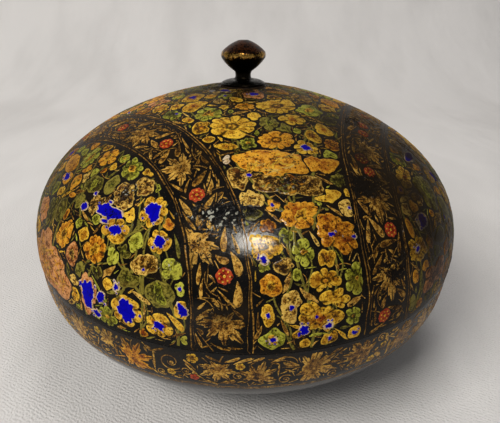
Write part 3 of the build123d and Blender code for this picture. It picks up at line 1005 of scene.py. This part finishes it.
def torn(half_w, half_h, a, turn=0.0, rough=0.5):
    """Jagged edge of a flake or of a patch with a broken edge."""
    r = (abs(np.cos(a - turn) / half_w) ** 2 + abs(np.sin(a - turn) / half_h) ** 2) ** -0.5
    for k in range(2, 20):
        r = r * (1 + rough / k * rng.uniform(-1, 1) * np.cos(k * a + rng.uniform(0, 6.3)))
    return np.maximum(r, 0.3)


def flower(az, s, half_w, half_h, form, paint, turn, least=0.0, dullest=0.25):
    """Paints one flower in the room there is. Less than the least share of its size, and it's left out."""
    petals, notch, point, wobble = forms[form]
    n = 72 if half_w > 9 else 56 if half_w > 5 else 40 if half_w > 2.6 else 24
    a = np.arange(n) * 2 * np.pi / n
    patch = form == "patch"
    own = torn(half_w, half_h, a, turn) if patch else outline(half_w, half_h, point, turn, a, wobble)
    gap = patch_gap if patch else line_gap
    free = lid_painted.reach(az, s, a, own.max() + gap) - gap
    reach = np.minimum(own, free)
    reach = np.minimum((np.roll(reach, 1) + 2 * reach + np.roll(reach, -1)) / 4, reach + 0.3)
    if reach.mean() < max(0.7, least * own.mean()):
        return False
    petal = None
    if petals and half_w > 2:
        petals += int(rng.integers(0, 3))
        warp = 0.35 * np.sin(a + rng.uniform(0, 6.3)) + 0.18 * np.sin(2 * a + rng.uniform(0, 6.3))
        petal = np.cos(petals * (a + warp))
        reach = reach * (1 - notch * (1 - abs(np.cos(petals * (a + warp) / 2)) ** 0.5))
    reach = np.maximum(reach, 0.35)
    lid_painted.cover(az, s, a, reach)
    tone = (0.1 if paint == "speckled" else 0.85) if patch else rng.uniform(dullest, 1)
    dab(lid_paints[paint], az, s, reach, lift=dab_t * rng.uniform(0.8, 1.25), tone=tone, petal=petal,
        eye=float(petals > 3 and rng.random() < 0.5))
    if 3.4 < half_w < 9 and not patch and rng.random() < 0.75:
        heart = reach.min() * 0.62 * outline(1, 0.85, 2, rng.uniform(0, 3), a, 0.4)
        heart_paint = lid_paints[heart_paints.get(paint, "speckled")]
        dab(heart_paint, az, s, np.maximum(heart, 0.5), lift=touch_t, tone=0.4 * rng.random())
    return True


for one in flowers:
    flower(*one)

# more flowers wherever there is still room, the largest first
field_paints = ("yellow", "orange", "lime", "olive", "speckled", "salmon", "cream")
field_shares = (0.27, 0.2, 0.17, 0.15, 0.15, 0.04, 0.02)
crown_end_s = lid.end - 1.5
large_forms = ["bloom", "rose", "round", "leaf", "mass", "trefoil"]
small_forms = ["round", "leaf", "bloom"]
for size, tries in ((6.2, 5000), (5.0, 6000), (4.1, 7000), (3.3, 8000), (2.6, 8000)):
    az = rng.uniform(-180, 180, tries)
    s = rng.uniform(1, crown_end_s, tries)
    distance = from_panel(az, s)
    room = (distance < -0.9 * size) | (distance > band_w + 0.9 * size)
    room &= (rng.random(tries) < lid.radius(s) / lid_r) & ~lid_painted.at(az, s)
    sides = np.radians(np.arange(0, 360, 60))
    for i in np.flatnonzero(room):
        if lid_painted.reach(az[i], s[i], sides, size + 1.2).min() < 0.86 * size + 0.3:
            continue
        form = rng.choice(large_forms if size > 3 else small_forms)
        slim = rng.uniform(0.55, 0.9) if form == "leaf" else rng.uniform(0.8, 1.0)
        paint, turn = rng.choice(field_paints, p=field_shares), rng.uniform(0, np.pi)
        wide = 1.1 * size
        made = flower(az[i], s[i], wide, wide * slim, form, paint, turn, least=0.55, dullest=0.0)
        if made and size > 3 and rng.random() < 0.12:
            half_w, half_h = 0.45 * size * rng.uniform(0.6, 1.2), 0.4 * size * rng.uniform(0.6, 1.2)
            blue_patches.append((az[i], s[i], half_w, half_h))

# Ultramarine: flakes of the old blue where the top colour has come away, each with a pale torn edge.
torn_edge = 0.33
flake_corners = 56


def flake(az, s, half_w, half_h):
    """One flake on its pale torn edge."""
    a = np.arange(flake_corners) * 2 * np.pi / flake_corners
    blue = torn(half_w, half_h, a)
    edge = blue + torn_edge * (1 + 0.8 * rng.uniform(-1, 1, flake_corners))
    dab(lid_paints["cream"], az, s, (edge + np.roll(edge, 1)) / 2, lift=touch_t, tone=0.6)
    dab(lid_paints["ultramarine"], az, s, blue, lift=touch_t + 0.08, tone=0.5)


for az, s, half_w, half_h in blue_patches:
    flake(az, s, half_w, half_h)
    for _ in range(int(rng.integers(0, 4)) if half_w > 1.5 else 0):
        turn, share = rng.uniform(0, 6.3), rng.uniform(0.15, 0.4)
        at = spot_at(lid, az, s, 1.35 * half_w * cos(turn), 1.35 * half_h * sin(turn))
        flake(*at, share * half_w, share * half_h)

# Bands between the panels: leaves of the chinar, the plane tree of Kashmir, in shell gold and red
# rosettes on the black ground, with sprays of small leaves between them. A chinar leaf has pointed lobes
# with toothed sides.
leaf_lobes = ((0, 1.0), (44, 0.93), (-44, 0.9), (88, 0.9), (-88, 0.93), (132, 0.62), (-132, 0.6))
lobe_half_deg = 23.0
leaf_heart = 0.3                  # least radius, where the lobes join
tooth_depth = 0.16
vein_half_deg = 9.5
leaf_corners = 120
rosette_r = 3.5
rosette_dots = 7
band_leaf = 11.5
rose_spacing = 15.5                # between a leaf and the next rosette along a band
# az, s, half width, and which way the leaf's tip points in degrees, 90 being up
band_leaves = [(-93.2, 15, 12.5, -90), (-99.0, 46, 12.5, -95), (-107.5, 79, 12, 200),
               (-132.5, 95, 11.5, -80), (-59.5, 26, 11.5, -90), (-56, 58, 11, -100), (-46.5, 95, 11, 20)]
band_roses = [(-93, 33.5), (-101, 66), (-118.5, 92), (-149.5, 93), (-61, 8.5), (-56, 43.5), (-50.2, 78.5),
              (-28, 95)]


def chinar(paint, az, s, half_w, tip, gap=0.5):
    """One chinar leaf in the room there is, with a vein down each lobe."""
    a = np.arange(leaf_corners) * 2 * np.pi / leaf_corners
    reach = np.full(leaf_corners, leaf_heart)
    vein = np.ones(leaf_corners)
    for lobe, length in leaf_lobes:
        off = abs((np.degrees(a) - tip - lobe + rng.normal(0, 3) + 180) % 360 - 180)
        along = off / lobe_half_deg
        side = length * rng.uniform(0.85, 1.1) * (1 - 0.62 * np.minimum(along, 1) ** 1.1)
        side = side * (1 + tooth_depth * np.minimum(along * 2, 1) * np.cos(along * 3 * np.pi))
        reach = np.where(along < 1, np.maximum(reach, side), reach)
        vein = np.minimum(vein, 1 - 2 * np.exp(-(off / vein_half_deg) ** 2))
    reach = np.minimum(reach * half_w, paint.painted.reach(az, s, a, half_w + 2 * gap) - gap)
    reach = np.maximum(reach, 0.6)
    paint.painted.cover(az, s, a, reach)
    dab(paint, az, s, reach, tone=rng.uniform(0.3, 0.8), petal=vein)
    back = np.radians(tip + 180)
    start = (leaf_heart * half_w + 1) * np.array([np.cos(back), np.sin(back)])
    tendril(paint, *spot_at(paint.shell, az, s, *start), 0.6 * half_w, back, rng.uniform(-1, 1), 0.8)


def rosette(petal_paint, dot_paint, az, s, r):
    """Small double flower: a notched disc with a ring of dots round a bright eye."""
    a = np.arange(40) * 2 * np.pi / 40
    edge = r * (1 - 0.1 * (1 - abs(np.cos(4 * a)))) * (1 + 0.04 * rng.normal(size=40))
    petal_paint.painted.cover(az, s, a, edge)
    dab(petal_paint, az, s, edge, tone=rng.random())
    for k in range(rosette_dots):
        turn = 2 * np.pi * k / rosette_dots
        at = spot_at(petal_paint.shell, az, s, 0.62 * r * cos(turn), 0.62 * r * sin(turn))
        dot = 0.17 * r * rng.uniform(0.7, 1.3, 10)
        dab(dot_paint, *at, dot, lift=touch_t, tone=rng.uniform(0.2, 0.8))
    dab(dot_paint, az, s, np.full(12, 0.26 * r), lift=touch_t, tone=0.8)


leaf_turns = np.arange(16) * np.pi / 8


def fitted_leaf(paint, az, s, longest, widest, gap):
    """One brush press, laid the longest way that a free place allows. False where there is no room."""
    a = leaf_turns
    reach = paint.painted.reach(az, s, a, longest) - gap
    k = int(np.argmax(reach[:8] + reach[8:] + rng.uniform(0, 0.8, 8)))
    slide = np.clip((reach[k] - reach[k + 8]) / 2, -longest / 2, longest / 2)
    az, s = spot_at(paint.shell, az, s, slide * np.cos(a[k]), slide * np.sin(a[k]))
    free = paint.painted.reach(az, s, a, longest / 2 + 1) - gap
    half = min(free[k], free[k + 8], longest / 2)
    broad = min(free[(k + 4) % 16], free[(k + 12) % 16], widest / 2, 0.5 * half)
    half = min(half, 5 * broad)
    if half < 0.9 or broad < 0.28:
        return False
    along = np.cos(a)
    across = np.sin(a) * (0.62 - 0.38 * along) * (1 + 0.2 * rng.normal())
    across = broad * (across + 0.25 * rng.normal() * (along ** 2 - 0.5))
    along = half * along
    sides, own = np.arctan2(across, along) + a[k], np.hypot(across, along)
    edge = np.maximum(np.minimum(own, paint.painted.reach(az, s, sides, half + 1) - 0.6 * gap), 0.22)
    paint.painted.cover(az, s, sides, edge)
    dab(paint, az, s, edge, tone=rng.uniform(0.1, 1.0), angles=sides)
    return True


def tendril(paint, az, s, length, turn, curl, width=0.45):
    """Curved stem that runs until it meets something."""
    t = np.linspace(0, 1, int(length / 0.7) + 3)
    angle = turn + curl * t
    u = np.append(0, np.cumsum(np.cos(angle[:-1])) * length / len(t))
    v = np.append(0, np.cumsum(np.sin(angle[:-1])) * length / len(t))
    stem_az, stem_s = spot_at(paint.shell, az, s, u, v)
    taken = paint.painted.at(stem_az, stem_s)
    end = int(taken.argmax()) if taken.any() else len(t)
    if end > 4:
        line(paint, stem_az[:end], stem_s[:end], width * (1.1 - 0.5 * t[:end]), tone=rng.uniform(0.3, 0.9))
        for i in range(0, end, 2):
            paint.painted.cover(stem_az[i], stem_s[i], np.arange(4) * np.pi / 2, np.full(4, 0.3))


gold, red = lid_paints["chinar"], lid_paints["madder"]
for az, s in band_roses:
    rosette(red, lid_paints["yellow"], az, s, rosette_r)
for az, s, r, tip in band_leaves:
    chinar(gold, az, s, r, tip)
eight_ways = np.radians(np.arange(0, 360, 45))
for middle in panel_az:
    path_az, path_s = round_panel(middle, band_w / 2)
    steps = np.linalg.norm(np.diff(lid.at(path_az, path_s, 0.0), axis=0), axis=1)
    along = np.append(0, np.cumsum(steps)) / mm
    for k, at in enumerate(np.arange(12, along[-1] - 6, rose_spacing)):
        az, s = np.interp(at, along, path_az), np.interp(at, along, path_s)
        if lid_painted.reach(az, s, eight_ways, 7).min() < (5 if k % 2 == 0 else 3.4):
            continue
        if k % 2 == 0:
            chinar(gold, az, s, band_leaf, -90 + rng.normal(0, 25))
        else:
            rosette(red, lid_paints["yellow"], az, s, rosette_r * rng.uniform(0.85, 1.05))

# tendrils, then leaves of three sizes, wherever there is still room: all gold in the bands
free_i, free_j = np.nonzero(~lid_painted.map)
leaf_paints = ("chinar", "olive", "yellow", "lime", "speckled")
leaf_shares = (0.5, 0.2, 0.12, 0.1, 0.08)
tendril_tries = 900
for pick in rng.permutation(len(free_i))[:tendril_tries]:
    az, s = (free_i[pick] + 0.5) * lid_painted.step_az, (free_j[pick] + 0.5) * square
    tendril(gold, az, s, rng.uniform(5, 13), rng.uniform(0, 6.3), rng.uniform(-2, 2), 0.42)
for longest, widest, gap, tries in ((11.0, 4.2, 1.1, 16000), (7.5, 3.2, 1.0, 16000), (4.8, 2.2, 1.0, 9000)):
    for pick in rng.permutation(len(free_i))[:tries]:
        az, s = (free_i[pick] + 0.5) * lid_painted.step_az, (free_j[pick] + 0.5) * square
        if lid_painted.map[free_i[pick], free_j[pick]] or s > crown_end_s:
            continue
        in_band = 0 < panel_distance[free_i[pick], free_j[pick]] < band_w
        paint = "chinar" if in_band else rng.choice(leaf_paints, p=leaf_shares)
        fitted_leaf(lid_paints[paint], az, s, longest, widest, gap)

# Streaks over the broad patches, dragged with a nearly dry brush in the colours of the flowers beside
# them. They lie on top of the other dabs and follow no outline.
streak_paints = {"orange": ("yellow", "yellow", "speckled"), "speckled": ("orange", "olive", "chinar"),
                 "salmon": ("orange", "salmon", "chinar")}
for az, s, half_w, half_h, form, paint, _ in flowers:
    if form != "patch" or half_w < 9:
        continue
    for _ in range(int(half_w * half_h / 4)):
        u, v = 0.7 * half_w * rng.uniform(-1, 1), 0.7 * half_h * rng.uniform(-1, 1)
        if (u / half_w) ** 2 + (v / half_h) ** 2 > 0.5:
            continue
        t = np.linspace(-1, 1, 12)
        long, lean = 0.17 * half_w * rng.uniform(0.5, 1.4), rng.normal(0.2, 0.5)
        path = spot_at(lid, az, s, u + long * cos(lean) * t - 0.8 * sin(lean) * t ** 2,
                       v + long * sin(lean) * t + 1.2 * rng.normal() * t ** 2)
        line(lid_paints[rng.choice(streak_paints[paint])], *path, rng.uniform(0.7, 2.2) * (1.05 - t ** 2),
             lift=touch_t, tone=rng.uniform(0.2, 1))

for paint in lid_paints.values():
    paint.lay()

# Bowl's frieze: a garland of chinar leaves, flowers and scrolled tendrils in the same paints, under the
# rim, closed below by two hair lines. The rest of the bowl is plain varnished black.
frieze_top = 1.6
rubbed_bowl = 0.2
orange_share = 0.12                # some of the leaves are orange, and a few flowers red
madder_share = 0.06
bowl_painted = Painted(bowl)
bowl_paints = {name: Paint("bowl_" + name + "_strokes", bowl_painted, "bowl", "bowl_lacquer", paints[name],
                           rubbed_bowl) for name in ("chinar", "orange", "yellow", "madder")}
bowl_gold = bowl_paints["chinar"]
ring_az = np.arange(-180, 180, 1.5)
for depth, width in ((frieze_foot + 0.6, 0.5), (frieze_foot + 1.8, 0.3)):
    sway = 0.35 * np.sin(np.radians(ring_az) * 23) + 0.3 * np.sin(np.radians(ring_az) * 41)
    line(bowl_gold, ring_az, depth + sway, width, tone=0.5, closed=True)
bowl_s = bowl_painted.squares()[1]
bowl_painted.map |= (bowl_s < frieze_top) | (bowl_s > frieze_foot - 0.3)

# az, depth under the rim, half width, direction of the tip
frieze_leaves = [(-127, 11, 12, 200), (-112, 12.5, 13, -20), (-94, 9, 10, 100), (-86.5, 13, 10, -70),
                 (-76, 10.5, 14, 15), (-64.5, 10, 12, 190), (-54.5, 10, 11, 30), (-45, 11, 11, 170),
                 (-36, 10, 10.5, 10)]
frieze_flowers = [(-99, 4.5, 2.8), (-121, 5, 2.2), (-62, 15.5, 2.4), (-52, 4.5, 2.2), (-103.5, 15, 2.2)]
scrolls = [(-103.5, 8.5, 4.5, 1), (-81, 16, 2.8, -1), (-119.5, 15, 3.0, 1), (-71, 17, 2.4, 1),
           (-52, 16.5, 2.6, -1)]


def scroll(paint, az, s, r, hand):
    """Tendril that winds into a spiral with a bud in it."""
    t = np.linspace(0, 1, 44)
    turn = hand * (0.6 + t * 9.0)
    reach = r * (1.15 - t) ** 0.8
    path = spot_at(bowl, az, s, reach * np.cos(turn), reach * np.sin(turn))
    line(paint, *path, 0.6 * (1.1 - 0.5 * t), tone=0.6)
    dab(paint, *spot_at(bowl, az, s, 0.12 * r, 0.1 * r), np.full(12, 0.25 * r), tone=0.8)
    bowl_painted.cover(az, s, np.arange(8) * np.pi / 4, np.full(8, 1.05 * r))


def frieze_flower(az, s, r):
    """Five petals round a dark ring."""
    a = np.arange(30) * 2 * np.pi / 30
    edge = r * (1 - 0.25 * (1 - abs(np.cos(2.5 * a)) ** 0.6))
    edge = np.minimum(edge, bowl_painted.reach(az, s, a, r + 1) - 0.3)
    edge = np.maximum(edge, 0.4)
    bowl_painted.cover(az, s, a, edge)
    paint = bowl_paints["madder" if rng.random() < madder_share else "yellow"]
    dab(paint, az, s, edge, tone=rng.random(), petal=np.cos(5 * a), eye=1.0)


def leaf_paint():
    """Gold, or for a few leaves orange."""
    return bowl_paints["orange" if rng.random() < orange_share else "chinar"]


def frieze_room(az, s, r):
    """Is a circle free in the frieze?"""
    return bowl_painted.reach(az, s, eight_ways, r + 0.5).min() > r


for one in frieze_flowers:
    frieze_flower(*one)
for one in scrolls:
    scroll(bowl_gold, *one)
for az, s, r, tip in frieze_leaves:
    chinar(leaf_paint(), az, s, r, tip)
for size in (10.5, 8.5, 6.5, 2.6):
    for _ in range(900):
        az, s = rng.uniform(-180, 180), rng.uniform(frieze_top, frieze_foot)
        if not frieze_room(az, s, 0.8 * size):
            continue
        if size > 3:
            chinar(leaf_paint(), az, s, 1.25 * size, rng.uniform(0, 360))
        elif rng.random() < 0.5:
            scroll(bowl_gold, az, s, 0.8 * size, int(rng.choice([-1, 1])))
        else:
            frieze_flower(az, s, 0.85 * size)
for _ in range(300):
    az, s = rng.uniform(-180, 180), rng.uniform(frieze_top, frieze_foot)
    tendril(bowl_gold, az, s, rng.uniform(4, 10), rng.uniform(0, 6.3), rng.uniform(-2, 2), 0.45)
for longest, widest, gap, tries in ((12.0, 4.4, 1.2, 5000), (8.0, 3.4, 1.2, 3000), (5.0, 2.2, 1.2, 1500)):
    az, s = rng.uniform(-180, 180, tries), rng.uniform(frieze_top, frieze_foot, tries)
    for i in np.flatnonzero(~bowl_painted.at(az, s)):
        if not bowl_painted.at(az[i:i + 1], s[i:i + 1])[0]:
            fitted_leaf(bowl_gold, az[i], s[i], longest, widest, gap)
for paint in bowl_paints.values():
    paint.lay()

# Moulded shells of the lid and the bowl: paper pulp pressed on a form, rubbed smooth and lacquered black
# inside. Past the painted skins they show their inner sides, the bare edges at the seam and the bowl's
# worn foot.
lump = 11.0                        # in mm, as the next three are
fibre = 1.4
dust_speck = 0.5
brush_spacing = 2.827
pulp_relief = 0.5 * mm
bare_paper = "#6d4c28"
pale_paper = "#9a7a4c"
inner_black = "#0d0a08"
inner_brown = "#2b1a0d"
inner_dust = "#4d4030"


def lacquered_pulp(name, bare_low, bare_high, coat):
    """Black lacquer brushed on pulp, and rubbed back to bare paper between two heights in mm.

    The lacquer is glossy but lumpy, brown where it is thin, and dusty. Bare paper is matt and fibrous.
    """
    material, tree, shader = new_material(name, {"Coat Weight": coat, "Coat Roughness": 0.2,
                                                 "Coat IOR": varnish_ior, "Specular IOR Level": 0.15})
    place = add(tree, "TexCoord", out="Object")
    in_mm = add(tree, "VectorMath", {0: place, 3: 1 / mm}, operation="SCALE")
    lumps = add(tree, "TexNoise", {"Vector": in_mm, "Scale": 1 / lump, "Detail": 4.0})
    fibres = add(tree, "TexNoise", {"Vector": in_mm, "Scale": 1 / fibre, "Detail": 5.0, "Distortion": 1.5})
    dusty = add(tree, "TexNoise", {"Vector": in_mm, "Scale": 1 / dust_speck, "Detail": 1.0})
    strokes = add(tree, "TexWave", {"Vector": in_mm, "Scale": wave_repeat / brush_spacing,
                                    "Distortion": 7.0, "Detail": 3.0}, 1, bands_direction="Z")
    browner = add(tree, "MapRange", [lumps, 0.45, 0.72])
    black = add(tree, "Mix", {0: browner, 6: linear(inner_black), 7: linear(inner_brown)}, 2,
                data_type="RGBA")
    dust = add(tree, "MapRange", [dusty, 0.68, 0.76, 0.0, 0.7])
    black = add(tree, "Mix", {0: dust, 6: black, 7: linear(inner_dust)}, 2, data_type="RGBA")
    paler = add(tree, "MapRange", [fibres, 0.4, 0.62])
    paper = add(tree, "Mix", {0: paler, 6: linear(bare_paper), 7: linear(pale_paper)}, 2, data_type="RGBA")
    height = add(tree, "Math", [add(tree, "SeparateXYZ", [in_mm], 2), -1.4], operation="ADD")
    height = add(tree, "Math", [fibres, 1.6, height], operation="MULTIPLY_ADD")
    height = add(tree, "Math", [lumps, 1.2, height], operation="MULTIPLY_ADD")
    above = add(tree, "MapRange", [height, bare_low - 0.25, bare_low + 0.25])
    below = add(tree, "MapRange", [height, bare_high + 0.25, bare_high - 0.25])
    bare = add(tree, "Math", [above, below], operation="MULTIPLY")
    rough = add(tree, "MapRange", [lumps, 0.3, 0.8, 0.0, 0.5])
    rough = add(tree, "Math", [bare, 0.4, rough], operation="MULTIPLY_ADD")
    fibrous = add(tree, "Math", [bare, 0.9, 0.12], operation="MULTIPLY_ADD")
    relief = add(tree, "Math", [fibres, fibrous, lumps], operation="MULTIPLY_ADD")
    relief = add(tree, "Math", [strokes, 0.12, relief], operation="MULTIPLY_ADD")
    bump = add(tree, "Bump", {"Height": relief, "Strength": 0.5, "Distance": pulp_relief})
    colour = add(tree, "Mix", {0: bare, 6: black, 7: paper}, 2, data_type="RGBA")
    connect(tree, shader, {"Base Color": colour, "Roughness": rough, "Normal": bump})
    return material


def finish_node(node, material):
    """Gives a modelled part its finish."""
    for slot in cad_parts[node].material_slots:
        slot.material = material


finish_node("lid_shell", lacquered_pulp("black lacquer inside the lid", seam_z - 1, seam_z + 0.7, 0.45))
finish_node("bowl_shell", lacquered_pulp("black lacquer inside the bowl", -0.15, 0.9, 0.55))

# Rim collar: strips of pasted paper glued round inside the bowl's mouth, blacked, that the lid fits over.
# The lid rubs it each time it goes on, so the blacking has worn back to brown paper round its top edge.
collar_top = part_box("rim_collar")[1].z / mm
finish_node("rim_collar", lacquered_pulp("blacked paper strip", collar_top - 0.5, collar_top + 2, 0.15))

# Knob: turned in one piece from brass, with faint tool marks round it, and screwed down on its stud. The
# brass has gone nearly black with age. Its widest line is golden, partly rubbed bright by fingers and
# partly a painted highlight band, and the shoulder above it is brown.
tool_mark_spacing = 2.0            # in mm, as the next two are; real marks are too fine to show
blotch = 4.0
pit = 0.8
brass_relief = 0.3 * mm
knob_widest_z = 163.0
patina_black = "#15110c"
patina_brown = "#633312"
rubbed_brass_highlight = "#b98f45"
# Brass under a patina: dark and blotchy, metal all through, smoother and golden where it is rubbed, and
# golden too along its widest line, where a highlight band is painted.
aged_brass, tree, shader = new_material("turned brass, patinated and handled", {"Metallic": 1.0})
place = add(tree, "TexCoord", out="Object")
in_mm = add(tree, "VectorMath", {0: place, 3: 1 / mm}, operation="SCALE")
knob_height = add(tree, "SeparateXYZ", [in_mm], 2)
cloudy = add(tree, "TexNoise", {"Vector": in_mm, "Scale": 1 / blotch, "Detail": 5.0, "Roughness": 0.65})
gritty = add(tree, "TexNoise", {"Vector": in_mm, "Scale": 1 / pit, "Detail": 3.0})
from_widest = add(tree, "Math", [knob_height, knob_widest_z + 0.6], operation="SUBTRACT")
from_widest = add(tree, "Math", [from_widest], operation="ABSOLUTE")
# golden band round the widest line: rubbed brass, and partly a painted highlight
widest = add(tree, "MapRange", [from_widest, 3.6, 0.2])
handled_and_highlit = add(tree, "Math", [cloudy, 0.85], operation="MULTIPLY")
handled_and_highlit = add(tree, "Math", [widest, 0.36, handled_and_highlit], operation="MULTIPLY_ADD")
handled_and_highlit = add(tree, "Math", [gritty, 0.4, handled_and_highlit], operation="MULTIPLY_ADD")
rubbed_and_highlit = add(tree, "MapRange", [handled_and_highlit, 0.86, 1.0])
spotted = add(tree, "Math", [cloudy, gritty], operation="ADD")
spotted = add(tree, "MapRange", [spotted, 0.88, 1.12, 0.0, 0.85])
shoulder = add(tree, "MapRange", [knob_height, knob_widest_z - 1.0, knob_widest_z + 1.5])
brown = add(tree, "Math", [shoulder, spotted], operation="MULTIPLY")
colour = add(tree, "Mix", {0: brown, 6: linear(patina_black), 7: linear(patina_brown)}, 2, data_type="RGBA")
colour = add(tree, "Mix", {0: rubbed_and_highlit, 6: colour, 7: linear(rubbed_brass_highlight)}, 2, data_type="RGBA")
rough = add(tree, "MapRange", [gritty, 0.3, 0.75, 0.18, 0.6])
rough = add(tree, "Math", [rubbed_and_highlit, -0.16, rough], operation="MULTIPLY_ADD")
turning = add(tree, "TexWave", {"Vector": in_mm, "Scale": wave_repeat / tool_mark_spacing,
                                "Distortion": 0.4}, 1, bands_direction="Z")
relief = add(tree, "Math", [gritty, 0.35, cloudy], operation="MULTIPLY_ADD")
relief = add(tree, "Math", [turning, 0.04, relief], operation="MULTIPLY_ADD")
bump = add(tree, "Bump", {"Height": relief, "Strength": 0.45, "Distance": brass_relief})
connect(tree, shader, {"Base Color": colour, "Roughness": rough, "Normal": bump})
finish_node("knob", aged_brass)

# Hide washer under the knob: a punched disc of thin leather that keeps the brass off the lacquer.
# It is clamped between the knob's foot and the crown, and oil has darkened it.
hide_pebble = 0.6 * mm
hide_patch = 2.5 * mm
hide_relief = 0.15 * mm
hide_dark = "#120b07"
hide_brown = "#3a2413"
# Oiled leather: dark and dull, drier and browner in patches, with its pebbled grain still to be seen.
hide, tree, shader = new_material("oiled hide", {"Specular IOR Level": 0.3})
place = add(tree, "TexCoord", out="Object")
grain = add(tree, "TexVoronoi", {"Vector": place, "Scale": 1 / hide_pebble}, feature="DISTANCE_TO_EDGE")
pebbled = add(tree, "MapRange", [grain, 0.0, 0.14])
oil = add(tree, "TexNoise", {"Vector": place, "Scale": 1 / hide_patch, "Detail": 5.0})
dry = add(tree, "MapRange", [oil, 0.35, 0.7])
colour = add(tree, "Mix", {0: dry, 6: linear(hide_dark), 7: linear(hide_brown)}, 2, data_type="RGBA")
rough = add(tree, "MapRange", [oil, 0.2, 0.8, 0.5, 0.75])
bump = add(tree, "Bump", {"Height": pebbled, "Strength": 0.5, "Distance": hide_relief})
connect(tree, shader, {"Base Color": colour, "Roughness": rough, "Normal": bump})
finish_node("knob_washer", hide)

# Knob's fixing inside the lid: a threaded brass stud, a round washer and a square nut run up to the pulp.
# The washer is stamped and the nut sawn from bar. Nobody handles them, so a dull film has grown on the
# brass.
film_patch = 1.8 * mm
file_scratch = 0.25 * mm
scratch_relief = 0.05 * mm
brass_yellow = "#b08c48"
brass_film = "#5a4020"
# Cut brass: still yellow, with fine scratches, and brown and rougher where the film lies.
fixing, tree, shader = new_material("cut brass, dulled", {"Metallic": 1.0})
place = add(tree, "TexCoord", out="Object")
film = add(tree, "TexNoise", {"Vector": place, "Scale": 1 / film_patch, "Detail": 5.0, "Roughness": 0.6})
scratch = add(tree, "TexNoise", {"Vector": place, "Scale": 1 / file_scratch, "Detail": 2.0})
filmed = add(tree, "MapRange", [film, 0.4, 0.68])
colour = add(tree, "Mix", {0: filmed, 6: linear(brass_yellow), 7: linear(brass_film)}, 2, data_type="RGBA")
rough = add(tree, "MapRange", [film, 0.2, 0.8, 0.25, 0.55])
bump = add(tree, "Bump", {"Height": scratch, "Strength": 0.3, "Distance": scratch_relief})
connect(tree, shader, {"Base Color": colour, "Roughness": rough, "Normal": bump})
finish_node("stud_washer", fixing)
finish_node("stud_nut", fixing)

# Stud: M3 brass rod with a rolled thread of half a millimetre pitch, held in the knob and by the nut.
# Rolled brass: bright along the crests of its thread, with the brown film left in the grooves.
thread_pitch = 0.5                 # in mm, as the next one is
thread_film = 1.2
thread_relief = 1.0 * mm
threaded, tree, shader = new_material("threaded brass rod, dulled", {"Metallic": 1.0, "Roughness": 0.4})
place = add(tree, "TexCoord", out="Object")
in_mm = add(tree, "VectorMath", {0: place, 3: 1 / mm}, operation="SCALE")
film = add(tree, "TexNoise", {"Vector": in_mm, "Scale": 1 / thread_film, "Detail": 4.0})
ridge = add(tree, "Math", [add(tree, "SeparateXYZ", [in_mm], 2), thread_pitch / 2], operation="PINGPONG")
groove = add(tree, "MapRange", [ridge, 0.12, 0.02])
filmed = add(tree, "MapRange", [film, 0.45, 0.7])
dirty = add(tree, "Math", [groove, filmed], operation="MAXIMUM")
colour = add(tree, "Mix", {0: dirty, 6: linear(brass_yellow), 7: linear(brass_film)}, 2, data_type="RGBA")
bump = add(tree, "Bump", {"Height": ridge, "Strength": 1.0, "Distance": thread_relief})
connect(tree, shader, {"Base Color": colour, "Normal": bump})
finish_node("knob_stud", threaded)

size = {"cad": [list(corner) for corner in cad_box], "visual": [list(corner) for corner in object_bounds()]}
